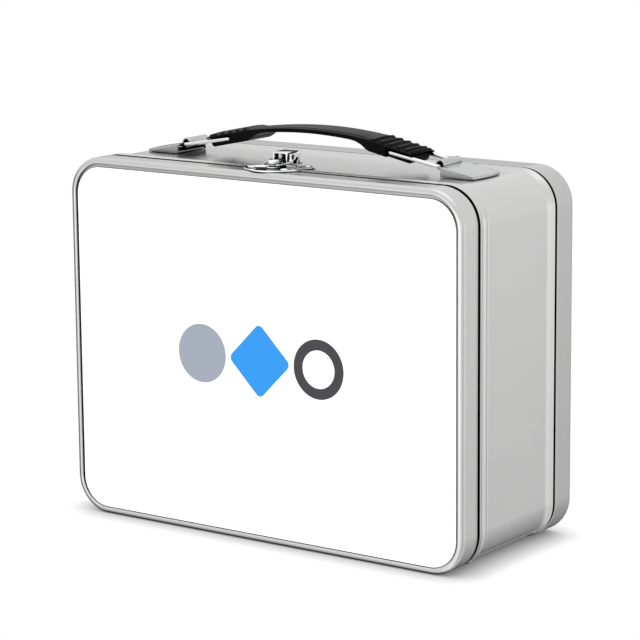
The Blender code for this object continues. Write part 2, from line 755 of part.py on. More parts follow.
def grip_under_half():
    """Underside of the full-width part, from its right end to the middle."""
    shoulder = RING_HOOK_X - WIRE_RADIUS - 0.6 * MM
    points = [
        (GRIP_HALF_LENGTH, GRIP_DECK_END_Z),
        (shoulder, GRIP_DECK_SHOULDER_Z),
        (shoulder, grip_bottom_height(shoulder)),
        (GRIP_HEEL_X, GRIP_HEEL_Z),
        (GRIP_HEEL_X - 1.8 * MM, GRIP_HEEL_Z + 0.9 * MM),
        (GRIP_HEEL_X - 3.6 * MM, GRIP_HEEL_Z + 2.3 * MM),
        (GRIP_HEEL_X - 6.4 * MM, GRIP_HEEL_Z + 3.6 * MM),
        (GRIP_HEEL_X - 9.9 * MM, GRIP_HEEL_Z + 4.3 * MM),
    ]
    steps = 6
    for step in range(steps):
        share = 1.0 - step / steps
        drop = STRAP_UNDERSIDE_DROP * share * share
        points.append((STRAP_HALF_LENGTH * share, GRIP_UNDERSIDE - drop))
    return points


def jaw_outline():
    """The thick lower part between a ring's two arms, as (x, z) points."""
    start = JAW_START_X
    corner = JAW_CORNER_X
    bottom = grip_bottom_height(corner)
    return [
        (start, grip_bottom_height(start)),
        (corner, bottom),
        (corner + 0.8 * MM, bottom + 0.4 * MM),
        (corner + 1.6 * MM, bottom + 2.0 * MM),
        (corner + 1.8 * MM, GRIP_DECK_END_Z + 0.8 * MM),
        (start, GRIP_DECK_SHOULDER_Z + 0.8 * MM),
    ]


def build_grip():
    """The moulded grip: a thin arched strap with two thick ridged ends."""
    half = grip_top_half() + grip_under_half()
    underside_middle = (0.0, GRIP_UNDERSIDE)
    mirrored = [(-x, z) for x, z in reversed(half[1:])]
    outline = half + [underside_middle] + mirrored
    span = (HANDLE_Y - GRIP_HALF_WIDTH, HANDLE_Y + GRIP_HALF_WIDTH)
    grip = prism("handle_grip", outline, "Y", *span, black_plastic("grip_plastic"))
    block_span = (HANDLE_Y - GRIP_BLOCK_HALF_WIDTH, HANDLE_Y + GRIP_BLOCK_HALF_WIDTH)
    for side, sign in (("left", -1.0), ("right", 1.0)):
        outline = [(sign * x, z) for x, z in jaw_outline()]
        join(grip, prism(f"grip_jaw_{side}", outline, "Y", *block_span))
        slot_ends = sorted((
            sign * (RING_HOOK_X - WIRE_RADIUS - GAP),
            sign * (RING_HOOK_X + RING_TRAVEL + WIRE_RADIUS + GAP),
        ))
        slot_half_height = WIRE_RADIUS + 0.4 * MM
        slot = block(
            f"grip_slot_{side}", slot_ends,
            (span[0] - CUT_MARGIN, span[1] + CUT_MARGIN),
            (RING_HOOK_Z - slot_half_height, RING_HOOK_Z + slot_half_height),
        )
        cut(grip, slot)
    return grip


# --------------------------------------------------------------- the latch

def almond(half_length, front_depth, rear_depth, steps=9):
    """A lens outline in (x, y): a deep front arc and a shallow rear arc."""
    def side_arc(bulge_depth):
        rise = bulge_depth - CATCH_TIP_DEPTH
        radius = (half_length ** 2 + rise ** 2) / (2.0 * abs(rise))
        centre = bulge_depth - math.copysign(radius, rise)
        spread = math.degrees(math.asin(half_length / radius))
        middle = math.copysign(90.0, rise)
        return arc(0.0, depth_to_y(centre), radius, middle - spread, middle + spread, steps)

    front = side_arc(front_depth)
    rear = side_arc(rear_depth)
    return front + rear[1:-1]


def build_catch():
    """The lid's share of the latch: a dished plate, its rivets and the stud."""
    metal = chrome("catch_chrome")
    plate = prism(
        "catch_plate", almond(CATCH_HALF_LENGTH, CATCH_FRONT_DEPTH, CATCH_REAR_DEPTH), "Z",
        CATCH_BASE, CATCH_RIM_TOP, metal,
    )
    dish = almond(
        CATCH_HALF_LENGTH - 2.0 * CATCH_RIM_WIDTH,
        CATCH_FRONT_DEPTH + CATCH_RIM_WIDTH,
        CATCH_REAR_DEPTH - CATCH_RIM_WIDTH,
    )
    cut(plate, prism("catch_dish", dish, "Z", CATCH_FLOOR, CATCH_RIM_TOP + CUT_MARGIN))
    rivet_y = depth_to_y(CATCH_RIVET_DEPTH)
    for side, sign in (("left", -1.0), ("right", 1.0)):
        x = sign * CATCH_RIVET_X
        drill(plate, f"catch_hole_{side}", x, rivet_y, CATCH_BASE - CUT_MARGIN, CATCH_RIM_TOP)
        head = rivet(
            f"catch_rivet_{side}", x, rivet_y, CATCH_FLOOR, BOX_HEIGHT - SHEET,
            chrome(f"catch_rivet_steel_{side}"),
        )
        set_origin(head, 0.0, depth_to_y(SEAM_DEPTH), HINGE_HEIGHT)
    profile = [
        (STUD_FOOT_RADIUS - 0.1 * MM, CATCH_FLOOR + 0.5 * GAP),
        (STUD_FOOT_RADIUS, CATCH_FLOOR + 0.4 * MM),
        (STUD_FOOT_RADIUS - 0.4 * MM, CATCH_FLOOR + 0.75 * MM),
        (STUD_NECK_RADIUS, CATCH_FLOOR + 0.85 * MM),
        (STUD_NECK_RADIUS, STUD_TOP - 1.8 * MM),
        (STUD_HEAD_RADIUS, STUD_TOP - 1.6 * MM),
        (STUD_HEAD_RADIUS, STUD_TOP - 0.5 * MM),
        (STUD_HEAD_RADIUS * 0.9, STUD_TOP - 0.15 * MM),
        (STUD_HEAD_RADIUS * 0.6, STUD_TOP),
    ]
    stud = turned("catch_stud", profile, 0.0, depth_to_y(SEAM_DEPTH), chrome("stud_chrome"), 18)
    for part in (plate, stud):
        set_origin(part, 0.0, depth_to_y(SEAM_DEPTH), HINGE_HEIGHT)


def build_latch_base():
    """The plate riveted to the band, with two ears that carry the latch pin."""
    low = BAND_TOP + GAP
    high = low + LATCH_SHEET
    front = depth_to_y(LATCH_BASE_FRONT_DEPTH)
    half = LATCH_BASE_HALF_LENGTH
    end_radius = LATCH_BASE_END_RADIUS
    rivet_y = depth_to_y(LATCH_RIVET_DEPTH)
    right_end = arc(half - end_radius, rivet_y, end_radius, -90.0, 90.0, 6)
    left_end = arc(end_radius - half, rivet_y, end_radius, 90.0, 270.0, 6)
    waist = EAR_INSIDE_X + LATCH_SHEET + 0.1 * MM
    outline = [(-waist, front), (waist, front)] + right_end + left_end
    base = prism("latch_base", outline, "Z", low, high, chrome("latch_base_chrome"))
    pin_y = depth_to_y(LATCH_PIN_DEPTH)
    ear = [(pin_y - EAR_FOOT_HALF, low + 0.1 * MM), (pin_y + EAR_FOOT_HALF, low + 0.1 * MM)]
    ear.append((pin_y + EAR_SHOULDER_HALF, LATCH_PIN_Z + LATCH_PIN_RADIUS))
    ear += arc(pin_y, LATCH_PIN_Z, EAR_RADIUS, 30.0, 150.0, 5)
    ear.append((pin_y - EAR_SHOULDER_HALF, LATCH_PIN_Z + LATCH_PIN_RADIUS))
    for side, sign in (("left", -1.0), ("right", 1.0)):
        inner = sign * EAR_INSIDE_X
        outer = sign * (EAR_INSIDE_X + LATCH_SHEET)
        join(base, prism(f"latch_ear_{side}", ear, "X", *sorted((inner, outer))))
        drill(base, f"latch_base_hole_{side}", sign * LATCH_RIVET_X, rivet_y, BAND_TOP, high + GAP)
        rivet(
            f"latch_rivet_{side}", sign * LATCH_RIVET_X, rivet_y, high, BAND_TOP - SHEET,
            chrome(f"latch_rivet_steel_{side}"),
        )
    pin_centre = (depth_to_y(LATCH_PIN_DEPTH), LATCH_PIN_Z)
    bore = LATCH_PIN_RADIUS + LATCH_PIN_CLEARANCE
    reach = LATCH_PIN_HALF_LENGTH + CUT_MARGIN
    cut(base, rod("latch_ear_bore", pin_centre, bore, "X", -reach, reach, 16))


def build_latch_pin():
    """A headed pin through the ears and the lever."""
    pin_centre = (depth_to_y(LATCH_PIN_DEPTH), LATCH_PIN_Z)
    reach = LATCH_PIN_HALF_LENGTH
    pin = rod(
        "latch_pin", pin_centre, LATCH_PIN_RADIUS, "X", -reach, reach, 16, chrome("latch_pin_steel"),
    )
    for side, sign in (("left", -1.0), ("right", 1.0)):
        head_span = sorted((sign * LATCH_PIN_HEAD_START, sign * (reach - LATCH_PIN_CLEARANCE)))
        head = rod(f"latch_pin_head_{side}", pin_centre, LATCH_PIN_HEAD_RADIUS, "X", *head_span, 16)
        join(pin, head)


def build_latch_lever():
    """The folded box-shaped lever whose fork straddles the stud on the lid."""
    front = depth_to_y(LEVER_FRONT_DEPTH)
    back = depth_to_y(LEVER_BACK_DEPTH)
    bottom = LEVER_BOTTOM
    radius = LEVER_BACK_RADIUS
    outside = [(front, bottom + 0.5 * MM), (front, LEVER_TOP)]
    outside += arc(back - radius, LEVER_TOP - radius, radius, 90.0, 0.0, 4)
    outside.append((back, bottom))
    lever = prism(
        "latch_lever", outside, "X", -LEVER_HALF_WIDTH, LEVER_HALF_WIDTH, chrome("lever_chrome"),
    )
    sheet = LATCH_SHEET
    hollow = [(front - CUT_MARGIN, bottom - CUT_MARGIN), (front - CUT_MARGIN, LEVER_TOP - sheet)]
    hollow += arc(back - radius, LEVER_TOP - radius, radius - sheet, 90.0, 0.0, 4)
    hollow.append((back - sheet, bottom - CUT_MARGIN))
    inner_half = LEVER_HALF_WIDTH - sheet
    cut(lever, prism("lever_hollow", hollow, "X", -inner_half, inner_half))
    fork = block(
        "lever_fork", (-FORK_HALF_WIDTH, FORK_HALF_WIDTH),
        (depth_to_y(FORK_TIP_DEPTH), depth_to_y(LEVER_WINDOW_START_DEPTH)),
        (FORK_BASE, FORK_BASE + FORK_THICKNESS),
    )
    join(lever, fork)
    slot_end = depth_to_y(SEAM_DEPTH + 0.2 * MM)
    slot = arc(0.0, slot_end, FORK_SLOT_HALF_WIDTH, 0.0, 180.0, 8)
    mouth = depth_to_y(FORK_TIP_DEPTH - CUT_MARGIN)
    slot += [(-FORK_SLOT_HALF_WIDTH, mouth), (FORK_SLOT_HALF_WIDTH, mouth)]
    cut(lever, prism("lever_fork_slot", slot, "Z", FORK_BASE - GAP, FORK_BASE + 2.0 * FORK_THICKNESS))
    window = block(
        "lever_window", (-LEVER_HALF_WIDTH - CUT_MARGIN, LEVER_HALF_WIDTH + CUT_MARGIN),
        (depth_to_y(LEVER_WINDOW_START_DEPTH), depth_to_y(LEVER_WINDOW_END_DEPTH)),
        (LEVER_WINDOW_LOW, LEVER_WINDOW_HIGH),
    )
    cut(lever, window)
    pin_centre = (depth_to_y(LATCH_PIN_DEPTH), LATCH_PIN_Z)
    bore = LATCH_PIN_RADIUS + LATCH_PIN_CLEARANCE
    reach = LATCH_PIN_HALF_LENGTH + CUT_MARGIN
    cut(lever, rod("lever_bore", pin_centre, bore, "X", -reach, reach, 16))
    set_origin(lever, 0.0, *pin_centre)


# ---------------------------------------------------------------- assembly

def clear_scene():
    for leftover in list(bpy.data.objects):
        bpy.data.objects.remove(leftover, do_unlink=True)


def main():
    clear_scene()
    build_lid()
    build_front_panel()
    build_band()
    build_back_cover()
    for side, low, high in hinge_spans():
        build_hinge(side, low, high)
    for side, sign in (("left", -1.0), ("right", 1.0)):
        build_bracket(side, sign)
        build_ring(side, sign)
    build_grip()
    build_catch()
    build_latch_base()
    build_latch_pin()
    build_latch_lever()


main()
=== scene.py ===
"""Looks for the metal lunch box: fine meshes, materials, light and camera.

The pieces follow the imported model. Lengths are in metres, +X is to the right, +Y
from the lid towards the back, and +Z up. "Depth" is measured backwards from the
front of the lid, and "inset" inwards from the box's outer outline.
"""
import math

import bmesh
import bpy
from mathutils import Matrix, Vector
from mathutils.geometry import interpolate_bezier


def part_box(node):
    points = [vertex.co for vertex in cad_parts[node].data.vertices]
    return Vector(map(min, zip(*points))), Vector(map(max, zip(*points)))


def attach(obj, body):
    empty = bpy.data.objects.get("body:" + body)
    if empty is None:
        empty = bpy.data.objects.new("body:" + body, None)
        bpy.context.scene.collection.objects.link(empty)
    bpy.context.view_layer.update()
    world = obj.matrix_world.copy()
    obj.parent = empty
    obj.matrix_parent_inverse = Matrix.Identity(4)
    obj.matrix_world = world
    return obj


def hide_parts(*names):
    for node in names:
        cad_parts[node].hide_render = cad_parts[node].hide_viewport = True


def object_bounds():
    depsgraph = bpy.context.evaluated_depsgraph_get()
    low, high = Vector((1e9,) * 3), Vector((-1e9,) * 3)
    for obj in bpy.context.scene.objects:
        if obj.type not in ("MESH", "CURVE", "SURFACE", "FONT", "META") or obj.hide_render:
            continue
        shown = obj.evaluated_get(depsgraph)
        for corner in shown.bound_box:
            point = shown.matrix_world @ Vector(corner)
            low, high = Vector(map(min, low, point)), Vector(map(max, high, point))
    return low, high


MM = 0.001

# Camera: place, aim in degrees, and lens and sensor in millimetres.
CAMERA_PLACE = Vector((0.65377, -0.90821, 0.30924))
CAMERA_YAW = 35.709
CAMERA_PITCH = -11.184
CAMERA_ROLL = -0.516
CAMERA_LENS = 151.13
SENSOR_WIDTH = 36.0

# The shells.
CORNER_RADIUS = 16.0 * MM
CORNER_STEPS = 18
EDGE_SPANS = 8
SHEET = 0.5 * MM
RIM_RADIUS = 2.1 * MM
RIM_WIDTH = 2.8 * MM
RIM_INNER_RADIUS = 0.6 * MM
RECESS_DEPTH = 1.6 * MM
HEM_LENGTH = 2.3 * MM
HEM_DROP = 0.2 * MM
TOP_HEM_DROP = 0.3 * MM
HEM_INSET = 0.9 * MM
NECK_INSET = 1.5 * MM
COVER_NECK_INSET = 1.1 * MM
SUPPORT = 0.6 * MM

# Openings for the hinge knuckles: play beside the pins, heights, depths.
WINDOW_PLAY = 0.6 * MM
WINDOW_HEIGHTS = (-2.0 * MM, 3.4 * MM)
LID_WINDOW_START = 9.4 * MM
BAND_WINDOW = (10.3 * MM, 13.9 * MM)

# The band's outer side as (inset, depth) in millimetres: over the front bead, along
# the wall, and out to the flare beside the cover.
SHOULDER_DEPTH = 8.0 * MM
BAND_FRONT = (
    (0.16, 14.1), (0.28, 15.1), (0.14, 16.2), (0.04, 17.3), (0.3, 18.4), (0.95, 19.2),
    (1.3, 19.8), (1.2, 20.6), (1.2, 21.5),
)
BAND_WALL_DEPTHS = (28.0, 36.0, 44.0, 54.0)
BAND_REAR = (
    (1.2, 62.6), (1.2, 65.4), (1.0, 66.6), (0.5, 68.2), (0.05, 69.5), (0.2, 69.95),
    (1.1, 70.15), (1.1, 70.6),
)

# The front step lies deeper along the bottom, where the lid's edge swings past it.
RELIEF = 0.85 * MM
RELIEF_END = (13.8 * MM, 16.6 * MM)
RELIEF_TURN = (8.0, 20.0)

# Depths at which the band and the cover are down in a seam, where their colour is painted nearly black
# as shade.
BAND_SHADED_GAPS = ((11.0 * MM, 13.1 * MM), (70.0 * MM, 73.0 * MM))
COVER_SHADED_GAPS = ((70.0 * MM, 71.7 * MM),)

# Lap seam in the band's lower right corner, as angles round that corner.
SEAM_START = 297.0
SEAM_END = 307.0
SEAM_DEPTHS = (15.5 * MM, 68.0 * MM)
SEAM_FADE = 1.2 * MM
SEAM_RISE = 0.42 * MM
SEAM_GROOVE = 0.38 * MM
SEAM_DETAIL = (-2.6, -1.6, -1.0, -0.5, 0.0, 0.5, 1.0, 1.6, 2.6)
SEAM_CLEAR = 2.8

# The print: a disc, a diamond and a ring in a row.
PRINT_SPACING = 30.0 * MM
PRINT_RADIUS = 12.5 * MM
PRINT_HOLE = 8.0 * MM
DIAMOND_REACH = 16.0 * MM
DIAMOND_ROUNDING = 2.5 * MM
INK_FRONT = 0.04 * MM
INK_BACK = 0.1 * MM

# The handle brackets: distances from the middle and heights above the table.
PLATE_THICKNESS = 0.8 * MM
BRACKET_INNER = 67.6 * MM
BRACKET_TOP = 159.5 * MM
BRACKET_OUTER_TOP = 156.7 * MM
BRACKET_FLOOR_END = 76.2 * MM
GUSSET_TOPS = (159.1 * MM, 156.5 * MM)
BARREL_X = 65.3 * MM
BARREL_Z = 159.9 * MM
BARREL_RADIUS = 2.15 * MM
BARREL_BORE = 1.6 * MM
BARREL_HALF = 6.6 * MM

# The latch.
LATCH_SHEET = 0.6 * MM
LEVER_WINDOW_HEIGHTS = (159.4 * MM, 161.4 * MM)
FORK_Z = 158.0 * MM

# The wire rings and their hooks in the grip.
WIRE_RADIUS = 0.8 * MM
WIRE_BEND = 1.2 * MM
RING_HALF = 7.9 * MM
HOOK_LENGTH = 4.5 * MM
RING_Z = 159.25 * MM
HOOK_X = 41.2 * MM
HOOK_Z = 163.4 * MM
SLOT_RADIUS = 1.15 * MM
SLOT_REACH = (0.1 * MM, 2.75 * MM)
SLOT_SIDES = (3.0 * MM, 9.6 * MM)

# The grip, from its middle: the strap, then a ridged end, whose outer part is a
# narrow jaw below a full-width deck.
STRAP_HALF = 18.0 * MM
STRAP_THICKNESS = 2.25 * MM
STRAP_SAG = 0.8 * MM
ARCH_SAG = 2.3 * MM
GROOVE_DEPTH = 0.28 * MM
RIDGE_COUNT = 5
RIDGE_PITCH = 4.0 * MM
RIDGE_START = 33.0 * MM
RIDGE_BASE = 168.05 * MM
RIDGE_HEIGHT = 0.85 * MM
END_RISE = 0.62 * MM
GRIP_SLOPE = 0.213
JAW_START = 39.8 * MM
JAW_HALF = 6.7 * MM
DECK_START = 165.2 * MM
DECK_SLOPE = 0.18
# Underside beyond the strap, as (x, z) in millimetres.
END_UNDERSIDE = (
    (18.0, 167.65), (21.5, 167.4), (25.0, 166.7), (27.8, 165.4), (29.6, 164.0), (31.4, 163.1),
    (50.2, 159.12), (51.0, 159.5), (51.8, 161.1), (52.0, 163.0), (53.0, 163.0),
)
STATION_GAP = 0.22 * MM

# Brightness of the studio as (degrees from the front towards the right, level), and
# of its sky at the horizon and straight up.
STUDIO_LEVELS = (
    (-180, 0.5), (-150, 0.1), (-100, 0.14), (-72, 0.25), (-46, 1.0), (-14, 1.85), (10, 1.75),
    (40, 1.05), (66, 0.86), (96, 1.0), (124, 1.3), (144, 1.03), (165, 0.66), (180, 0.5),
)
STUDIO_PEAK = 1.85
SKY_LEVELS = (0.99, 1.5)

# Heights, as sines, where the sides dim, turn into sky, and the sky brightens.
LOW_LEVEL = 0.72
LOW_HEIGHTS = (-0.32, -0.14)
SKY_HEIGHTS = (0.04, 0.2)
OVERHEAD_HEIGHTS = (0.72, 0.98)

# Area lights: name, place, watts.
LIGHTS = (("key", (-0.8, -1.4, 1.3), 18.0), ("fill", (1.6, 0.6, 0.9), 8.0))
LIGHT_SIZE = 1.0

# The contact shadow: its reach, and the openness and the shade at both its ends.
SHADOW_REACH = 15.0 * MM
SHADOW_OPENNESS = (0.02, 0.88)
SHADOW_SHADES = (0.12, 1.0)
FLOOR_HALF = 3.0

WHITE = (1.0, 1.0, 1.0)

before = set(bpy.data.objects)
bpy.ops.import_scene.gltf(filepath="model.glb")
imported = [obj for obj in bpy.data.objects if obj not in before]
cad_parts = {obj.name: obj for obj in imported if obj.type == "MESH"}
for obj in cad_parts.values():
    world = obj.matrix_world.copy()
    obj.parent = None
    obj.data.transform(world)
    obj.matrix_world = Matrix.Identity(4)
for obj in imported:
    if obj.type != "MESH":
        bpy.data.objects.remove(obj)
cad_low, cad_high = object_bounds()


# ---- frame readings

def centre_of(node):
    low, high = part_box(node)
    return (low + high) / 2.0


LID_LOW, LID_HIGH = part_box("lid_shell")
BAND_LOW, BAND_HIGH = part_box("body_band")
COVER_LOW, COVER_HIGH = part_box("back_cover")
PANEL_LOW, PANEL_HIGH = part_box("front_panel")
GRIP_LOW, GRIP_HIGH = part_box("handle_grip")

BOX_HALF_WIDTH = LID_HIGH.x
BOX_HEIGHT = LID_HIGH.z
FRONT = LID_LOW.y
LID_END = LID_HIGH.y - FRONT
NECK_START = BAND_LOW.y - FRONT
COVER_START = COVER_LOW.y - FRONT
COVER_END = COVER_HIGH.y - FRONT
BAND_NECK_END = BAND_HIGH.y - FRONT
HANDLE_Y = (GRIP_LOW.y + GRIP_HIGH.y) / 2.0


# ---- mesh helpers

def arc(centre_u, centre_v, radius, start, end, steps):
    """Points along a circular arc in a plane, angles in degrees."""
    points = []
    for step in range(steps + 1):
        angle = math.radians(start + (end - start) * step / steps)
        points.append((centre_u + radius * math.cos(angle), centre_v + radius * math.sin(angle)))
    return points


def circle(centre, radius, steps):
    return arc(*centre, radius, 0.0, 360.0, steps)[:-1]


def in_metres(points):
    """Points given in millimetres, in metres."""
    return [tuple(value * MM for value in point) for point in points]


def clamp(value, low, high):
    return max(low, min(high, value))


def blend(value, low, high):
    """0 below low, 1 above high, smooth between."""
    share = clamp((value - low) / (high - low), 0.0, 1.0)
    return share * share * (3.0 - 2.0 * share)


def smooth_curve(points, steps):
    """A curve through every given point, rounded between them (Catmull-Rom)."""
    padded = [Vector(point) for point in (points[0], *points, points[-1])]
    curve = []
    for before, start, end, after in zip(padded, padded[1:], padded[2:], padded[3:]):
        leaving = start + (end - before) / 6.0
        arriving = end - (after - start) / 6.0
        curve += interpolate_bezier(start, leaving, arriving, end, steps + 1)[:-1]
    return curve + [padded[-1]]


def smooth_shade(mesh, sharp):
    """Smooth shading, apart from edges turned by more than an angle in degrees."""
    mesh.shade_smooth()
    mesh.set_sharp_from_angle(angle=math.radians(sharp))


def new_object(name, builder, sharp=35.0):
    """Turn a bmesh into a smooth-shaded object with outward faces."""
    bmesh.ops.recalc_face_normals(builder, faces=builder.faces)
    mesh = bpy.data.meshes.new(name)
    builder.to_mesh(mesh)
    builder.free()
    smooth_shade(mesh, sharp)
    made = bpy.data.objects.new(name, mesh)
    bpy.context.scene.collection.objects.link(made)
    return made


def loft(name, rings, closed=False, sharp=35.0):
    """Join successive rings of points with quads, and cap the ends unless closed."""
    builder = bmesh.new()
    made = [[builder.verts.new(point) for point in ring] for ring in rings]
    pairs = list(zip(made, made[1:]))
    if closed:
        pairs.append((made[-1], made[0]))
    for first, second in pairs:
        for index in range(len(first)):
            before = index - 1
            builder.faces.new((first[before], first[index], second[index], second[before]))
    if not closed:
        builder.faces.new(made[0])
        builder.faces.new(made[-1])
    return new_object(name, builder, sharp)


def apply_modifiers(made, sharp=35.0):
    """Replace an object's mesh by its evaluated one."""
    graph = bpy.context.evaluated_depsgraph_get()
    mesh = bpy.data.meshes.new_from_object(made.evaluated_get(graph))
    made.modifiers.clear()
    made.data = mesh
    smooth_shade(mesh, sharp)


def combine(made, helpers, operation, sharp=35.0):
    """Join helpers on, or cut them away, and delete them."""
    for helper in helpers:
        modifier = made.modifiers.new(helper.name, "BOOLEAN")
        modifier.operation = operation
        modifier.solver = "EXACT"
        modifier.object = helper
    apply_modifiers(made, sharp)
    for helper in helpers:
        bpy.data.objects.remove(helper, do_unlink=True)


def bevel(made, width):
    """Round an object's sharp edges, as pressing and plating do."""
    modifier = made.modifiers.new("edge_rounding", "BEVEL")
    modifier.width = width
    modifier.segments = 2
    modifier.limit_method = "ANGLE"
    modifier.angle_limit = math.radians(32.0)
    apply_modifiers(made)


def ring_at(outline, axis, level):
    """A flat outline as a ring of points across X, Y or Z, at a level."""
    ring = []
    for first, second in outline:
        coordinates = [first, second]
        coordinates.insert("XYZ".index(axis), level)
        ring.append(Vector(coordinates))
    return ring


def prism(name, outline, axis, low, high):
    """Extrude a flat outline along X, Y or Z, from low to high."""
    return loft(name, [ring_at(outline, axis, level) for level in (low, high)])


def block(name, x_span, y_span, z_span):
    (left, right), (front, back) = x_span, y_span
    outline = [(left, front), (right, front), (right, back), (left, back)]
    return prism(name, outline, "Z", *z_span)


def turned(name, profile, centre, axis="Z", steps=36):
    """Revolve a profile of (radius, level) points about an axis along X, Y or Z."""
    rings = [ring_at(circle(centre, radius, steps), axis, level) for radius, level in profile]
    return loft(name, rings)


def rounded_path(corners, radius):
    """Replace each inner corner of a path by an arc of the given radius."""
    path = [corners[0]]
    for before, corner, after in zip(corners, corners[1:], corners[2:]):
        incoming = (before - corner).normalized()
        outgoing = (after - corner).normalized()
        half_angle = incoming.angle(outgoing) / 2.0
        middle = corner + (incoming + outgoing).normalized() * (radius / math.sin(half_angle))
        reach = radius / math.tan(half_angle)
        start = (corner + incoming * reach - middle).normalized()
        end = (corner + outgoing * reach - middle).normalized()
        path += [middle + start.slerp(end, step / 10) * radius for step in range(11)]
    return path + [corners[-1]]


def wire(name, path, radius, steps=20):
    """Sweep a circle along a path, with rounded tips."""
    rings = []
    normal = (path[1] - path[0]).orthogonal()
    for index, point in enumerate(path):
        before = path[max(index - 1, 0)]
        after = path[min(index + 1, len(path) - 1)]
        tangent = (after - before).normalized()
        normal = (normal - tangent * normal.dot(tangent)).normalized()
        side = tangent.cross(normal)
        spread = [(point, radius)]
        if index in (0, len(path) - 1):
            outward = -tangent if index == 0 else tangent
            spread = []
            for degrees in (0, 30, 60, 90):
                turn = math.radians(degrees)
                place = point + outward * (radius * 0.35 * (math.sin(turn) - 1.0))
                spread.append((place, radius * (0.45 + 0.55 * math.cos(turn))))
            if index == 0:
                spread.reverse()
        for centre, ring_radius in spread:
            rings.append([
                centre + normal * u + side * v for u, v in circle((0.0, 0.0), ring_radius, steps)
            ])
    return loft(name, rings)


def dress(made, body, material, node=None):
    """Give a piece its material and its body, and hide the node it stands for."""
    made.data.materials.clear()
    made.data.materials.append(material)
    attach(made, body)
    if node:
        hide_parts(node)
    return made


# ---- materials

def set_inputs(tree, node, inputs):
    """Link sockets to a node's inputs, and give the other inputs their values."""
    for key, value in inputs.items():
        if isinstance(value, bpy.types.NodeSocket):
            tree.links.new(value, node.inputs[key])
        else:
            node.inputs[key].default_value = value


def add_node(tree, kind, inputs=None, **settings):
    made = tree.nodes.new(f"ShaderNode{kind}")
    for key, value in settings.items():
        setattr(made, key, value)
    set_inputs(tree, made, inputs or {})
    return made


def noise(tree, scale, detail=3.0, roughness=0.5):
    """A noise value about 0.5; scale is features per metre, for all axes or for each."""
    if isinstance(scale, float):
        scale = (scale, scale, scale)
    source = add_node(tree, "TexCoord")
    mapping = add_node(tree, "Mapping", {"Vector": source.outputs["Object"], "Scale": scale})
    made = add_node(
        tree, "TexNoise",
        {"Vector": mapping.outputs["Vector"], "Scale": 1.0, "Detail": detail, "Roughness": roughness},
    )
    return made.outputs["Fac"]


def remap(tree, value, low, high, from_low=0.0, from_high=1.0):
    made = add_node(
        tree, "MapRange",
        {"Value": value, "From Min": from_low, "From Max": from_high, "To Min": low, "To Max": high},
    )
    return made.outputs["Result"]


def maths(tree, operation, first, second):
    return add_node(tree, "Math", {0: first, 1: second}, operation=operation).outputs[0]


def grey(tree, value, tint):
    """A grey of the given value, tinted by a colour."""
    combined = add_node(tree, "CombineXYZ", {0: value, 1: value, 2: value})
    inputs = {0: combined.outputs[0], 1: tint}
    return add_node(tree, "VectorMath", inputs, operation="MULTIPLY").outputs[0]


def edge_wear(tree, low, high, amount):
    """An amount on convex edges, 0 on flat and hollow places."""
    geometry = add_node(tree, "NewGeometry")
    return remap(tree, geometry.outputs["Pointiness"], 0.0, amount, low, high)


def painted_crevice_shade(tree, distance, dark, open_from=0.25, open_to=0.85):
    """Painted shade: 1 on open surfaces, down to dark in narrow gaps and corners, from occlusion."""
    occlusion = add_node(tree, "AmbientOcclusion", {"Distance": distance}, samples=8)
    return remap(tree, occlusion.outputs["AO"], dark, 1.0, open_from, open_to)


def new_material(name):
    material = bpy.data.materials.new(name)
    material.use_nodes = True
    tree = material.node_tree
    return material, tree, tree.nodes["Principled BSDF"]


def bump(tree, height, strength, distance, normal=None):
    inputs = {"Height": height, "Strength": strength, "Distance": distance}
    if normal is not None:
        inputs["Normal"] = normal
    return add_node(tree, "Bump", inputs).outputs["Normal"]


def painted_gap_shade(tree, spans):
    """Painted shade: 0 inside spans of depth, where the surface is down in a gap, 1 outside."""
    source = add_node(tree, "TexCoord")
    y = add_node(tree, "SeparateXYZ", {0: source.outputs["Object"]}).outputs["Y"]
    soft = 0.08 * MM
    mask = 1.0
    for start, end in spans:
        before = remap(tree, y, 1.0, 0.0, FRONT + start - soft, FRONT + start + soft)
        after = remap(tree, y, 0.0, 1.0, FRONT + end - soft, FRONT + end + soft)
        mask = maths(tree, "MULTIPLY", mask, maths(tree, "MAXIMUM", before, after))
    return mask


def tinplate(name, tone, roughness=0.24, gaps=(), dark=0.03):
    """Satin tin-plated sheet: rolling grain, faint mottling, and painted shade in crevices and seam
    gaps.
    """
    material, tree, shader = new_material(name)
    grain = noise(tree, (90.0, 5200.0, 90.0), 3.0, 0.6)
    fine = noise(tree, 3600.0, 2.0)
    mottle = noise(tree, 34.0, 4.0, 0.6)
    rubbed = edge_wear(tree, 0.52, 0.62, 0.05)
    shade = maths(tree, "ADD", remap(tree, grain, -0.022, 0.022), remap(tree, mottle, -0.02, 0.02))
    shade = maths(tree, "ADD", shade, rubbed)
    # Painted shade: the colour darkens in crevices and near other surfaces.
    shade = maths(tree, "MULTIPLY", maths(tree, "ADD", shade, tone), painted_crevice_shade(tree, 2.2 * MM, dark))
    # Painted shade: the colour goes nearly black where the surface is down in a seam gap.
    if gaps:
        shade = maths(tree, "MULTIPLY", shade, remap(tree, painted_gap_shade(tree, gaps), 0.015, 1.0))
    shine = maths(
        tree, "ADD", remap(tree, grain, roughness - 0.035, roughness + 0.035),
        remap(tree, mottle, -0.04, 0.04),
    )
    surface = bump(tree, fine, 0.08, 0.00001, bump(tree, grain, 0.12, 0.00002))
    set_inputs(tree, shader, {
        "Base Color": grey(tree, shade, (1.0, 0.998, 0.994)),
        "Metallic": 1.0,
        "Roughness": maths(tree, "SUBTRACT", shine, rubbed),
        "Normal": bump(tree, mottle, 0.05, 0.0001, surface),
    })
    return material


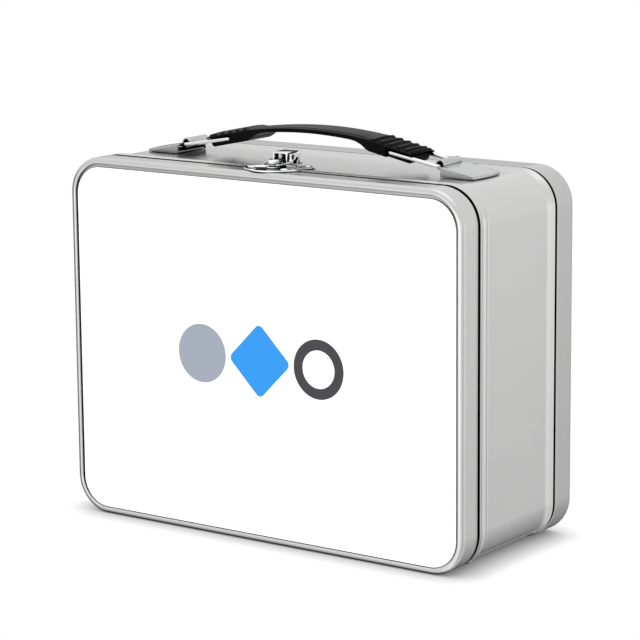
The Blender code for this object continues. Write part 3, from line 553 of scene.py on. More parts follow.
def plated(name, tone, roughness):
    """Bright nickel-chrome plate with polishing marks, slight haze, and painted shade near other
    surfaces.
    """
    material, tree, shader = new_material(name)
    polish = noise(tree, (900.0, 260.0, 2600.0), 3.0, 0.6)
    haze = noise(tree, 160.0, 4.0, 0.6)
    rubbed = edge_wear(tree, 0.54, 0.66, 0.05)
    shade = maths(tree, "ADD", remap(tree, haze, tone - 0.03, tone + 0.03), rubbed)
    # Painted shade: the colour darkens strongly near other surfaces.
    shade = maths(tree, "MULTIPLY", shade, painted_crevice_shade(tree, 5.0 * MM, 0.01, 0.3, 0.72))
    shine = remap(tree, polish, roughness - 0.02, roughness + 0.02)
    set_inputs(tree, shader, {
        "Base Color": grey(tree, shade, (0.99, 0.995, 1.0)),
        "Metallic": 1.0,
        "Roughness": maths(tree, "ADD", shine, remap(tree, haze, -0.03, 0.03)),
        "Normal": bump(tree, haze, 0.08, 0.0001, bump(tree, polish, 0.06, 0.00001)),
    })
    return material


def white_coating():
    """Glossy white stoved coating with a slight orange peel."""
    material, tree, shader = new_material("panel_white")
    peel = noise(tree, 750.0, 2.0)
    cloud = noise(tree, 22.0)
    set_inputs(tree, shader, {
        "Base Color": grey(tree, remap(tree, cloud, 0.925, 0.955), (1.0, 1.0, 0.995)),
        "Roughness": remap(tree, cloud, 0.2, 0.3),
        "Coat Weight": 0.4,
        "Coat Roughness": 0.12,
        "Normal": bump(tree, peel, 0.06, 0.00004),
    })
    return material


def black_plastic():
    """Moulded black plastic: fine grain, soft sheen, slightly polished edges."""
    material, tree, shader = new_material("grip_plastic")
    grain = noise(tree, 4200.0, 3.0, 0.6)
    flow = noise(tree, (60.0, 180.0, 180.0))
    rubbed = edge_wear(tree, 0.52, 0.64, 0.004)
    shade = maths(tree, "ADD", remap(tree, flow, 0.002, 0.004), rubbed)
    shine = maths(tree, "ADD", remap(tree, flow, 0.26, 0.34), remap(tree, grain, -0.03, 0.03))
    set_inputs(tree, shader, {
        "Base Color": grey(tree, shade, (1.0, 1.0, 1.04)),
        "Specular IOR Level": 0.028,
        "Roughness": maths(tree, "SUBTRACT", shine, edge_wear(tree, 0.52, 0.64, 0.08)),
        "Normal": bump(tree, flow, 0.1, 0.0001, bump(tree, grain, 0.12, 0.00003)),
    })
    return material


def printed_ink(name, colour):
    """Screen-printed ink film: flat colour with a fine dot grain."""
    material, tree, shader = new_material(name)
    dots = noise(tree, 2600.0, 2.0)
    cloud = noise(tree, 60.0)
    tone = maths(tree, "ADD", remap(tree, dots, 0.97, 1.03), remap(tree, cloud, -0.02, 0.02))
    set_inputs(tree, shader, {
        "Base Color": grey(tree, tone, colour),
        "Roughness": remap(tree, cloud, 0.28, 0.36),
        "Normal": bump(tree, dots, 0.05, 0.00002),
    })
    return material


# ---- the shells

def corner_angles(start):
    """Angles of a corner's points, with more of them at the lap seam."""
    angles = [start + 90.0 * step / CORNER_STEPS for step in range(CORNER_STEPS + 1)]
    for edge in (SEAM_START, SEAM_END):
        if start < edge < start + 90.0:
            angles = [angle for angle in angles if abs(angle - edge) > SEAM_CLEAR]
            angles += [edge + offset for offset in SEAM_DETAIL]
    return sorted(angles)


def outline_ring(inset, depth, rise=None):
    """The box's outline, set in, at a depth; rise(angle, depth) lifts the surface."""
    half_width = BOX_HALF_WIDTH - CORNER_RADIUS
    low = CORNER_RADIUS
    high = BOX_HEIGHT - CORNER_RADIUS
    corners = ((half_width, high), (-half_width, high), (-half_width, low), (half_width, low))
    y = FRONT + depth
    bends = []
    for index, (x, z) in enumerate(corners):
        bend = []
        for angle in corner_angles(90.0 * index):
            radius = CORNER_RADIUS - inset + (rise(angle, depth) if rise else 0.0)
            turn = math.radians(angle)
            bend.append(Vector((x + radius * math.cos(turn), y, z + radius * math.sin(turn))))
        bends.append(bend)
    ring = []
    for bend, following in zip(bends, bends[1:] + bends[:1]):
        start = bend[-1]
        end = following[0]
        margin = SUPPORT / (end - start).length
        shares = [margin] + [k / EDGE_SPANS for k in range(1, EDGE_SPANS)] + [1.0 - margin]
        ring += bend + [start.lerp(end, share) for share in shares]
    return ring


def sweep(name, profile, closed=False, rise=None):
    """Sweep a profile of (inset, depth) points round the box's outline."""
    rings = [outline_ring(inset, depth, rise) for inset, depth in profile]
    return loft(name, rings, closed)


def cut_windows(made, depth_low, depth_high):
    """Cut the openings that the hinge knuckles turn in."""
    cutters = []
    for side in ("left", "right"):
        low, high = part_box(f"hinge_pin_{side}")
        x_span = (low.x - WINDOW_PLAY, high.x + WINDOW_PLAY)
        y_span = (FRONT + depth_low, FRONT + depth_high)
        cutters.append(block(f"window_{side}", x_span, y_span, WINDOW_HEIGHTS))
    combine(made, cutters, "DIFFERENCE")


def rim_profile(wall):
    """The rounded rim from its inner foot to the side wall."""
    inner = arc(RIM_WIDTH - RIM_INNER_RADIUS, RIM_INNER_RADIUS, RIM_INNER_RADIUS - wall, 0.0, -90.0, 8)
    outer = arc(RIM_RADIUS, RIM_RADIUS, RIM_RADIUS - wall, 270.0, 180.0, 14)
    return inner + outer


def hem_profile():
    """The lid's side rolling gently inwards, then round its thin rear edge."""
    shares = [step / 8 for step in range(8)]
    roll = [(HEM_DROP * share * share, LID_END - HEM_LENGTH * (1.0 - share)) for share in shares]
    edge = 0.15 * MM
    return roll + arc(HEM_DROP + edge, LID_END - edge, edge, 180.0, 90.0, 3)


def lid_rise(angle, depth):
    """Along the top the lid's rear edge dips a little more than at the sides."""
    share = max(0.0, (depth - LID_END + HEM_LENGTH) / HEM_LENGTH)
    return -TOP_HEM_DROP * share * share * (1.0 - blend(abs(angle - 90.0), 5.0, 60.0))


def build_lid(material):
    """The pressed lid: rounded rim, recessed front, side wall, rolled hem."""
    outside = [(RIM_WIDTH + 2.0 * SUPPORT, RECESS_DEPTH), (RIM_WIDTH, RECESS_DEPTH)]
    outside += rim_profile(0.0)
    outside += [(0.0, RIM_RADIUS + SUPPORT), (0.0, LID_END - HEM_LENGTH - SUPPORT)]
    outside += hem_profile()
    inside = [
        (HEM_INSET, LID_END - 0.1 * MM),
        (HEM_INSET, LID_END - 1.4 * MM),
        (SHEET, LID_END - 1.8 * MM),
        (SHEET, RIM_RADIUS + SUPPORT),
    ]
    inside += rim_profile(SHEET)[::-1]
    inside += [
        (RIM_WIDTH - SHEET, RECESS_DEPTH + SHEET),
        (RIM_WIDTH + 2.0 * SUPPORT, RECESS_DEPTH + SHEET),
    ]
    lid = sweep("lid_skin", outside + inside, rise=lid_rise)
    cut_windows(lid, LID_WINDOW_START, LID_END + 0.3 * MM)
    return dress(lid, "lid", material, "lid_shell")


def build_panel(material):
    """The white coated plate in the lid's recess, with softened edges."""
    inset = BOX_HALF_WIDTH - PANEL_HIGH.x
    front = PANEL_LOW.y - FRONT
    back = PANEL_HIGH.y - FRONT
    soft = 0.22 * MM
    profile = [(inset + 1.6 * MM, front), (inset + 0.8 * MM, front)]
    profile += arc(inset + soft, front + soft, soft, 270.0, 180.0, 5)
    profile += [(inset, back - 0.1 * MM), (inset + 0.1 * MM, back), (inset + 0.8 * MM, back)]
    panel = sweep("panel_skin", profile)
    drop = (PANEL_LOW.z + PANEL_HIGH.z) / 2.0 - BOX_HEIGHT / 2.0
    for vertex in panel.data.vertices:
        vertex.co.z += drop
    return dress(panel, "lid", material, "front_panel")


def surface_rise(angle, depth):
    """How far the band stands out from its profile at an angle and a depth."""
    return seam_rise(angle, depth) - bottom_relief(angle, depth)


def bottom_relief(angle, depth):
    """How much deeper the front step lies, 270 degrees being the bottom."""
    end = NECK_START + SHOULDER_DEPTH
    along = blend(depth, end - 0.1 * MM, end + 0.2 * MM) * (1.0 - blend(depth, *RELIEF_END))
    return RELIEF * along * (1.0 - blend(abs(angle - 270.0), *RELIEF_TURN))


def seam_rise(angle, depth):
    """Height of the band's lap seam: a groove, a step up and a slow fall."""
    if not SEAM_START - 4.0 < angle < SEAM_END + 4.0:
        return 0.0
    front, rear = SEAM_DEPTHS
    along = clamp((depth - front) / SEAM_FADE, 0.0, 1.0) * clamp((rear - depth) / SEAM_FADE, 0.0, 1.0)
    up = 0.5 + 0.5 * math.tanh((angle - SEAM_START) / 0.5)
    down = 0.5 + 0.5 * math.tanh((SEAM_END - angle) / 1.6)
    groove = math.exp(-((angle - SEAM_START + 0.5) / 0.6) ** 2)
    return (SEAM_RISE * up * down - SEAM_GROOVE * groove) * along


def band_outside():
    """Outer side of the band: neck, shoulder, front bead, wall, rear flare, neck."""
    start = NECK_START + SHOULDER_DEPTH
    shoulder = [
        (NECK_INSET, start - 0.5 * MM), (NECK_INSET, start), (0.9 * MM, start + 0.14 * MM),
        (0.3 * MM, start + 0.25 * MM), (0.12 * MM, start + 0.5 * MM),
    ]
    wall_inset = BAND_REAR[0][0]
    wall = [(wall_inset, depth) for depth in BAND_WALL_DEPTHS]
    neck = arc(NECK_INSET + SHEET, NECK_START + SHEET, SHEET, 270.0, 180.0, 4)
    neck += smooth_curve(shoulder + in_metres(BAND_FRONT), 4) + in_metres(wall)
    return neck + smooth_curve(in_metres(BAND_REAR), 4) + [(COVER_NECK_INSET, BAND_NECK_END)]


def build_band(material):
    """The body's side wall, one strip bent round, its front edge hemmed."""
    outside = band_outside()
    inside = [(inset + SHEET, depth) for inset, depth in reversed(outside[5:])]
    hem_end = NECK_START + 3.2 * MM
    inside += [
        (NECK_INSET + SHEET, hem_end + 0.2 * MM), (NECK_INSET + 1.9 * SHEET, hem_end),
        (NECK_INSET + 2.0 * SHEET, hem_end - 0.2 * MM),
    ]
    inside += arc(NECK_INSET + SHEET, NECK_START + SHEET, SHEET, 360.0, 270.0, 4)[:-1]
    band = sweep("band_skin", outside + inside, closed=True, rise=surface_rise)
    cut_windows(band, *BAND_WINDOW)
    return dress(band, "box", material, "body_band")


def build_cover(material):
    """The rear pan, with a shallow pressed line round its flat back."""
    line_inset = 6.0 * MM
    line_width = 2.4 * MM
    line_depth = 0.4 * MM
    edge = COVER_END - COVER_START

    def line(wall):
        points = []
        for turn in range(0, 361, 45):
            dip = 0.5 - 0.5 * math.cos(math.radians(turn))
            points.append((line_inset + line_width * (1.0 - turn / 360.0), wall + line_depth * dip))
        return points

    outside = [(line_inset + line_width + SUPPORT, 0.0)] + line(0.0)
    outside += [(line_inset - SUPPORT, 0.0), (RIM_RADIUS + SUPPORT, 0.0)]
    outside += arc(RIM_RADIUS, RIM_RADIUS, RIM_RADIUS, 270.0, 180.0, 14)
    outside += [(0.0, RIM_RADIUS + SUPPORT), (0.0, edge - 0.9 * MM)]
    outside += arc(0.35 * MM, edge - 0.35 * MM, 0.35 * MM, 180.0, 90.0, 4)
    inside = [(SHEET * 1.2, edge), (SHEET, edge - 0.4 * MM), (SHEET, RIM_RADIUS + SUPPORT)]
    inside += arc(RIM_RADIUS, RIM_RADIUS, RIM_RADIUS - SHEET, 180.0, 270.0, 8)
    inside += [(RIM_RADIUS + SUPPORT, SHEET), (line_inset - SUPPORT, SHEET)]
    inside += line(SHEET)[::-1]
    inside.append((line_inset + line_width + SUPPORT, SHEET))
    profile = [(inset, COVER_END - depth) for inset, depth in outside + inside]
    cover = sweep("cover_skin", profile)
    return dress(cover, "box", material, "back_cover")


# ---- the print on the panel

def film_ring(outline, depth):
    """An outline of (x, z) from the panel's centre, at a depth behind its face."""
    middle = centre_of("front_panel")
    points = [(middle.x + x, middle.z + z) for x, z in outline]
    return ring_at(points, "Y", PANEL_LOW.y + depth)


def print_film(name, material, outline, hole=None):
    """A thin ink film on the panel's face; its hole has as many points."""
    rings = [film_ring(outline, INK_BACK), film_ring(outline, -INK_FRONT)]
    if hole:
        rings += [film_ring(hole, -INK_FRONT), film_ring(hole, INK_BACK)]
    film = loft(name, rings, closed=bool(hole))
    return dress(film, "lid", material)


# ---- hardware

def dress_fitting(made, body, material, node):
    return dress(made, body, material, node)


def build_rivet(node, material, body):
    """A domed rivet with a shank and a flattened tail."""
    low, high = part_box(node)
    centre = centre_of(node)
    head_radius = (high.x - low.x) / 2.0
    head_height = 0.7 * MM
    shank = 0.9 * MM
    tail_height = 0.4 * MM
    tail_radius = 1.4 * MM
    base = high.z - head_height
    profile = [(tail_radius * 0.75, low.z), (tail_radius * 0.95, low.z + 0.1 * MM)]
    profile += [(tail_radius, low.z + 0.25 * MM), (tail_radius * 0.97, low.z + tail_height)]
    profile += [(shank, low.z + tail_height), (shank, base), (head_radius * 0.98, base)]
    for step in range(1, 9):
        angle = math.radians(90.0 * step / 9)
        profile.append((head_radius * math.cos(angle), base + head_height * math.sin(angle)))
    profile.append((head_radius * 0.12, high.z))
    rivet = turned(f"{node}_dome", profile, (centre.x, centre.y), steps=32)
    return dress_fitting(rivet, body, material, node)


def build_stud(material):
    """The round-headed stud on the lid that the latch fork grips."""
    low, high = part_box("catch_stud")
    centre = centre_of("catch_stud")
    foot = (high.x - low.x) / 2.0
    head = 2.6 * MM
    neck = 1.7 * MM
    profile = [(foot * 0.97, low.z), (foot, low.z + 0.12 * MM), (foot, low.z + 0.25 * MM)]
    profile += [(foot * 0.95, low.z + 0.4 * MM), (foot * 0.84, low.z + 0.6 * MM)]
    profile += [(neck * 1.15, low.z + 0.68 * MM), (neck, low.z + 0.85 * MM)]
    profile += [(neck, high.z - 1.8 * MM), (head * 0.9, high.z - 1.72 * MM)]
    profile += arc(head - 0.25 * MM, high.z - 1.4 * MM, 0.25 * MM, -70.0, 0.0, 4)
    profile += arc(head - 0.6 * MM, high.z - 0.6 * MM, 0.6 * MM, 0.0, 80.0, 7)
    profile += [(head * 0.45, high.z - 0.02 * MM), (head * 0.15, high.z)]
    stud = turned("catch_stud_turned", profile, (centre.x, centre.y), steps=40)
    return dress_fitting(stud, "lid", material, "catch_stud")


def lens_outline(half_length, front, rear, middle, steps=26):
    """A lens outline in (x, y): a deep front arc and a shallow rear arc."""
    def side_arc(bulge):
        rise = bulge - middle
        radius = (half_length ** 2 + rise ** 2) / (2.0 * abs(rise))
        centre = bulge - math.copysign(radius, rise)
        spread = math.degrees(math.asin(half_length / radius))
        aim = math.copysign(90.0, rise)
        return arc(0.0, centre, radius, aim - spread, aim + spread, steps)

    return side_arc(front) + side_arc(rear)[1:-1]


def build_catch_plate(material):
    """The lens-shaped plate on the lid: rolled rim, dished floor."""
    low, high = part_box("catch_plate")
    middle = FRONT + 10.6 * MM
    half = high.x

    def ring(shrink, z):
        outline = lens_outline(half - 2.0 * shrink, low.y + shrink, high.y - shrink, middle)
        return [Vector((x, y, z)) for x, y in outline]

    top = high.z
    floor = low.z + 0.3 * MM
    stations = [
        (0.2 * MM, low.z), (0.04 * MM, low.z + 0.1 * MM), (0.0, low.z + 0.25 * MM),
        (0.04 * MM, top - 0.2 * MM), (0.18 * MM, top - 0.05 * MM), (0.38 * MM, top),
        (0.58 * MM, top - 0.05 * MM), (0.72 * MM, top - 0.2 * MM), (0.85 * MM, floor + 0.08 * MM),
        (1.05 * MM, floor + 0.01 * MM), (1.5 * MM, floor), (2.2 * MM, floor),
    ]
    plate = loft("catch_plate_pressed", [ring(shrink, z) for shrink, z in stations])
    return dress_fitting(plate, "lid", material, "catch_plate")


def build_latch_base(material):
    """The riveted latch plate with two ears that carry the pin."""
    low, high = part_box("latch_base")
    pin = centre_of("latch_pin")
    rivet = centre_of("latch_rivet_right")
    half = high.x
    front_half = 4.9 * MM
    end_radius = 2.9 * MM
    right_end = arc(half - end_radius, rivet.y, end_radius, -90.0, 90.0, 14)
    left_end = arc(end_radius - half, rivet.y, end_radius, 90.0, 270.0, 14)
    outline = [(-front_half, low.y), (front_half, low.y)] + right_end + left_end
    base = prism("latch_base_pressed", outline, "Z", low.z, low.z + LATCH_SHEET)
    foot_half = 2.6 * MM
    neck_half = 1.9 * MM
    neck = pin.z + 0.6 * MM
    foot = low.z + 0.1 * MM
    ear = [(pin.y - foot_half, foot), (pin.y + foot_half, foot), (pin.y + neck_half, neck)]
    ear += arc(pin.y, pin.z, 1.6 * MM, 30.0, 150.0, 12) + [(pin.y - neck_half, neck)]
    inner = 4.2 * MM
    outer = 4.8 * MM
    ears = [prism(f"ear_{sign}", ear, "X", sign * inner, sign * outer) for sign in (-1.0, 1.0)]
    combine(base, ears, "UNION")
    bevel(base, 0.12 * MM)
    return dress_fitting(base, "box", material, "latch_base")


def build_latch_pin(material):
    """The pin that the lever turns on, headed at both ends."""
    low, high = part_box("latch_pin")
    centre = centre_of("latch_pin")
    shank = 0.6 * MM
    head = (high.z - low.z) / 2.0
    profile = [(shank * 0.8, low.x), (head * 0.8, low.x + 0.1 * MM), (head, low.x + 0.3 * MM)]
    profile += [(head, low.x + 0.6 * MM), (shank, low.x + 0.62 * MM)]
    profile += [(radius, -x) for radius, x in reversed(profile)]
    pin = turned("latch_pin_turned", profile, (centre.y, centre.z), "X", 28)
    return dress_fitting(pin, "box", material, "latch_pin")


def lever_fork(tip, rear):
    """The fork round the stud, as (x, y) points: two rounded tines."""
    slot_half = 2.9 * MM
    fork_half = 3.9 * MM
    tine = (fork_half + slot_half) / 2.0
    round_tip = 0.5 * MM
    outline = [(fork_half, rear), (-fork_half, rear)]
    outline += arc(-tine, tip + round_tip, round_tip, 180.0, 360.0, 8)
    outline += arc(0.0, FRONT + 12.2 * MM, slot_half, 180.0, 0.0, 20)
    return outline + arc(tine, tip + round_tip, round_tip, 180.0, 360.0, 8)


def build_lever(material):
    """The folded box lever: open front, rounded back, fork for the stud."""
    low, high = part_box("latch_lever")
    pin = centre_of("latch_pin")
    front = FRONT + 16.5 * MM
    back = high.y
    top = high.z
    bottom = low.z
    half = 3.6 * MM
    radius = 1.6 * MM
    beyond = 2.0 * MM

    def cap(wall):
        """The top and its rounded fall to the rear, set in by a wall."""
        return arc(back - radius, top - radius, radius - wall, 90.0, 0.0, 10)

    outline = [(front, bottom + 0.5 * MM), (front, top)] + cap(0.0) + [(back, bottom)]
    lever = prism("latch_lever_pressed", outline, "X", -half, half)
    floor = bottom - 1.0 * MM
    core = [(front - beyond, floor), (front - beyond, top - LATCH_SHEET)]
    core += cap(LATCH_SHEET) + [(back - LATCH_SHEET, floor)]
    core_half = half - LATCH_SHEET
    window_start = FRONT + 19.9 * MM
    cutters = [
        prism("lever_hollow", core, "X", -core_half, core_half),
        block(
            "lever_window", (-half - beyond, half + beyond),
            (window_start, window_start + 2.0 * MM), LEVER_WINDOW_HEIGHTS,
        ),
        prism("lever_bore", circle((pin.y, pin.z), 0.7 * MM, 28), "X", -half - beyond, half + beyond),
    ]
    combine(lever, cutters, "DIFFERENCE")
    fork = lever_fork(low.y, window_start)
    combine(lever, [prism("lever_fork", fork, "Z", FORK_Z, FORK_Z + LATCH_SHEET)], "UNION")
    bevel(lever, 0.12 * MM)
    return dress_fitting(lever, "latch", material, "latch_lever")


def bracket_plate_section(edge, foot):
    """The sloping plate and its down-turned outer lip, as (x, z) points."""
    thick = PLATE_THICKNESS
    inner = BRACKET_INNER
    lip = edge - thick
    shoulder = BRACKET_OUTER_TOP - thick
    slope = (BRACKET_OUTER_TOP - BRACKET_TOP) / (lip - inner)
    overlap = 0.7 * MM
    shares = [k / 6.0 for k in range(1, 7)]
    run = edge - 1.6 * MM - inner
    outside = [(inner - overlap, BRACKET_TOP - overlap * slope)]
    outside += [(inner + run * share, BRACKET_TOP + slope * run * share) for share in shares]
    outside += arc(lip, shoulder, thick, 80.0, 0.0, 6)
    outside += [(edge, foot), (lip, foot), (lip, shoulder - 0.2 * MM), (lip - 0.6 * MM, shoulder)]
    run -= 0.6 * MM
    under = BRACKET_TOP - thick
    inside = [(inner + run * share, under + slope * run * share) for share in shares[-2::-1]]
    return outside + inside + [(inner - overlap, under - overlap * slope)]


def build_bracket(side, sign, material):
    """A hollow wedge, open towards the grip, with a curled barrel for the ring."""
    node = f"handle_bracket_{side}"
    low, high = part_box(node)
    foot = low.z
    outer = max(abs(low.x), abs(high.x))
    half_width = (high.y - low.y) / 2.0
    middle = (high.y + low.y) / 2.0
    thick = PLATE_THICKNESS
    columns = 24

    rings = []
    for column in range(columns + 1):
        across = 2.0 * column / columns - 1.0
        section = bracket_plate_section(outer - 0.9 * MM * across ** 2, foot)
        rings.append([Vector((sign * x, middle + half_width * across, z)) for x, z in section])
    bracket = loft(f"bracket_{side}_pressed", rings)
    inner_top, outer_top = GUSSET_TOPS
    near = sign * BRACKET_INNER
    far = sign * (outer - 2.0 * thick)
    gusset = [(near, foot), (far, foot), (far, outer_top), (near, inner_top)]
    additions = []
    for end in (-1.0, 1.0):
        span = (middle + end * half_width, middle + end * (half_width - thick))
        additions.append(prism(f"gusset_{end}", gusset, "Y", *span))
    floor_x = (sign * (BRACKET_INNER + 0.4 * MM), sign * BRACKET_FLOOR_END)
    floor_y = (low.y + 0.5 * thick, high.y - 0.5 * thick)
    additions.append(block("bracket_floor", floor_x, floor_y, (foot, foot + thick)))
    barrel = circle((sign * BARREL_X, BARREL_Z), BARREL_RADIUS, 40)
    additions.append(prism("barrel", barrel, "Y", middle - BARREL_HALF, middle + BARREL_HALF))
    combine(bracket, additions, "UNION")
    bore = circle((sign * BARREL_X, BARREL_Z), BARREL_BORE, 34)
    reach = BARREL_HALF + 1.0 * MM
    combine(bracket, [prism("bore", bore, "Y", middle - reach, middle + reach)], "DIFFERENCE")
    bevel(bracket, 0.14 * MM)
    return dress_fitting(bracket, "box", material, node)


def build_ring(side, sign, material):
    """The wire ring: through the barrel, along the grip, hooked into it."""
    node = f"handle_ring_{side}"
    half = [
        (HOOK_X, RING_HALF - HOOK_LENGTH, HOOK_Z), (HOOK_X, RING_HALF, HOOK_Z),
        (BARREL_X, RING_HALF, RING_Z),
    ]
    path = [(x, -y, z) for x, y, z in half] + half[::-1]
    corners = [Vector((sign * x, HANDLE_Y + y, z)) for x, y, z in path]
    ring = wire(f"{node}_wire", rounded_path(corners, WIRE_BEND), WIRE_RADIUS)
    return dress_fitting(ring, f"ring_{side}", material, node)


# ---- the grip

def interpolate(points, x):
    """Height of a polyline of (x, z) points at x."""
    for (x_low, z_low), (x_high, z_high) in zip(points, points[1:]):
        if x <= x_high:
            return z_low + (z_high - z_low) * clamp((x - x_low) / (x_high - x_low), 0.0, 1.0)
    return points[-1][1]


def grip_top(x):
    """Smooth top of the grip below the ridges, x measured from its middle."""
    arch_end = RIDGE_START - 0.5 * RIDGE_PITCH
    arch = GRIP_HIGH.z - ARCH_SAG * (x / arch_end) ** 2
    ramp = RIDGE_BASE - GRIP_SLOPE * (x - RIDGE_START)
    return arch + (ramp - arch) * blend(x, arch_end - 3.0 * MM, arch_end + 2.0 * MM)


def ridge_height(x):
    """How far the stepped ridges stand above the smooth top."""
    first = RIDGE_START - 0.5 * RIDGE_PITCH
    last = RIDGE_START + (RIDGE_COUNT - 0.5) * RIDGE_PITCH + 0.2 * MM
    if x < first:
        return 0.0
    if x > last:
        return END_RISE * blend(x, last, last + 0.5 * MM)
    share = ((x - first) / RIDGE_PITCH) % 1.0
    tread = 0.06 + 0.94 * clamp(share / 0.66, 0.0, 1.0)
    nose = 1.0 - blend(share, 0.68, 0.92)
    return RIDGE_HEIGHT * tread * nose


def grip_bottom(x):
    """Underside of the grip."""
    if x < STRAP_HALF:
        return GRIP_HIGH.z - STRAP_THICKNESS - STRAP_SAG * (x / STRAP_HALF) ** 2
    return interpolate(in_metres(END_UNDERSIDE), x)


def grip_crown(x, half, top, soft):
    """Half of the grip's top at x, as (y, z) points from its middle to its side."""
    ridge = ridge_height(x)
    groove = GROOVE_DEPTH * (1.0 - blend(x, 28.0 * MM, 31.5 * MM))
    steps = 34
    points = []
    for step in range(steps + 1):
        y = (half - soft) * step / steps
        window = 1.0 - blend(y, 7.0 * MM, 7.7 * MM)
        line = math.exp(-((y - 6.3 * MM) / (0.24 * MM)) ** 2)
        crown = 0.6 * MM * (y / half) ** 2
        points.append((y, top + ridge * window - groove * line - crown))
    return points + arc(half - soft, points[-1][1] - soft, soft, 90.0, 0.0, 5)[1:]


def grip_section(x, sign):
    """The grip's cross-section at x, as a ring of points."""
    half = GRIP_HIGH.y - HANDLE_Y
    end = blend(x, GRIP_HIGH.x - 0.9 * MM, GRIP_HIGH.x)
    top = grip_top(x) - 0.6 * MM * end * end
    bottom = grip_bottom(x)
    if x > JAW_START + 0.05 * MM:
        deck = DECK_START - DECK_SLOPE * (x - JAW_START)
        bottom = min(bottom, deck - 0.05 * MM)
        jaw = JAW_HALF
        soft_top = min(0.55 * MM, (top - deck) * 0.6)
        soft_deck = 0.2 * MM
        soft_low = clamp((deck - bottom) * 0.4, 0.01 * MM, 0.6 * MM)
    else:
        deck = bottom + (top - bottom) * 0.45
        jaw = half
        soft_top = min(0.9 * MM, (top - bottom) * 0.45)
        soft_deck = 0.0
        soft_low = 0.7 * MM
    points = grip_crown(x, half, top, soft_top)
    points += [(half, deck + soft_deck), (half - 0.3 * soft_deck, deck + 0.3 * soft_deck)]
    points += [(half - soft_deck, deck), (jaw + 0.1 * soft_deck, deck - 0.05 * soft_deck)]
    points.append((jaw, deck - 0.02 * MM))
    points += arc(jaw - soft_low, bottom + soft_low, soft_low, 0.0, -90.0, 5)
    points += [(jaw * share, bottom) for share in (0.66, 0.33, 0.0)]
    ring = [Vector((sign * x, HANDLE_Y + y, z)) for y, z in points]
    ring += [Vector((sign * x, HANDLE_Y - y, z)) for y, z in reversed(points[1:-1])]
    return ring


def close_stations(start, end):
    """Places along the grip, closely spaced from start to before end."""
    count = math.ceil((end - start) / STATION_GAP)
    return [start + STATION_GAP * k for k in range(count)]


def grip_stations():
    """Places along the grip, from its middle to its end, close where it steps."""
    stations = [2.0 * MM * k for k in range(13)]
    stations += close_stations(25.0 * MM, JAW_START - 0.1 * MM)
    stations += [JAW_START, JAW_START + 0.06 * MM]
    stations += close_stations(JAW_START + 0.2 * MM, GRIP_HIGH.x - 0.1 * MM)
    return stations + [GRIP_HIGH.x - 0.06 * MM, GRIP_HIGH.x]


def hook_slot(sign, side):
    """Cutter for the slot that one hook of a ring slides in."""
    near, far = SLOT_REACH
    left, right = sorted((sign * (HOOK_X + near), sign * (HOOK_X + far)))
    outline = arc(right, HOOK_Z, SLOT_RADIUS, -90.0, 90.0, 10)
    outline += arc(left, HOOK_Z, SLOT_RADIUS, 90.0, 270.0, 10)
    span = [HANDLE_Y + side * reach for reach in SLOT_SIDES]
    return prism(f"slot_{sign}_{side}", outline, "Y", *span)


def build_grip(material):
    """The moulded grip: a thin arched strap with two thick stepped ends."""
    stations = grip_stations()
    rings = [grip_section(x, -1.0) for x in reversed(stations[1:])]
    rings += [grip_section(x, 1.0) for x in stations]
    grip = loft("grip_moulded", rings, sharp=50.0)
    slots = [hook_slot(sign, side) for sign in (-1.0, 1.0) for side in (-1.0, 1.0)]
    combine(grip, slots, "DIFFERENCE", sharp=50.0)
    return dress(grip, "grip", material, "handle_grip")


# ---- light and camera

def build_world():
    """White to the camera; a studio of soft boxes, dark behind the camera."""
    world = bpy.data.worlds.new("studio")
    bpy.context.scene.world = world
    world.use_nodes = True
    tree = world.node_tree
    tree.nodes.clear()
    coordinates = add_node(tree, "TexCoord")
    split = add_node(tree, "SeparateXYZ", {0: coordinates.outputs["Generated"]})
    behind = maths(tree, "MULTIPLY", split.outputs["Y"], -1.0)
    azimuth = maths(tree, "ARCTAN2", split.outputs["X"], behind)
    turn = remap(tree, azimuth, 0.0, 1.0, -math.pi, math.pi)
    ramp = add_node(tree, "ValToRGB", {"Fac": turn})
    ramp.color_ramp.interpolation = "EASE"
    while len(ramp.color_ramp.elements) < len(STUDIO_LEVELS):
        ramp.color_ramp.elements.new(0.5)
    for element, (degrees, level) in zip(ramp.color_ramp.elements, STUDIO_LEVELS):
        element.position = (degrees + 180.0) / 360.0
        share = level / STUDIO_PEAK
        element.color = (share, share, share, 1.0)
    around = maths(tree, "MULTIPLY", ramp.outputs["Color"], STUDIO_PEAK)
    height = split.outputs["Z"]
    lower = remap(tree, height, LOW_LEVEL, 1.0, *LOW_HEIGHTS)
    above = remap(tree, height, 0.0, 1.0, *SKY_HEIGHTS)
    sky = maths(tree, "MULTIPLY", above, remap(tree, height, *SKY_LEVELS, *OVERHEAD_HEIGHTS))
    sides = maths(tree, "MULTIPLY", maths(tree, "MULTIPLY", around, lower), remap(tree, above, 1.0, 0.0))
    level = maths(tree, "ADD", sides, sky)
    studio = add_node(tree, "Background", {"Color": grey(tree, level, WHITE)})
    backdrop = add_node(tree, "Background", {"Color": (*WHITE, 1.0)})
    path = add_node(tree, "LightPath")
    mix = add_node(
        tree, "MixShader",
        {0: path.outputs["Is Camera Ray"], 1: studio.outputs[0], 2: backdrop.outputs[0]},
    )
    add_node(tree, "OutputWorld", {"Surface": mix.outputs[0]})


def floor_material():
    """White floor that shows the contact shadow and lets the open lid be seen."""
    material, tree, shader = new_material("floor_white")
    tree.nodes.remove(shader)
    occlusion = add_node(tree, "AmbientOcclusion", {"Distance": SHADOW_REACH}, samples=16)
    shade = remap(tree, occlusion.outputs["AO"], *SHADOW_SHADES, *SHADOW_OPENNESS)
    seen = add_node(tree, "BsdfTransparent", {"Color": grey(tree, shade, WHITE)})
    set_inputs(tree, tree.nodes["Material Output"], {"Surface": seen.outputs[0]})
    return material


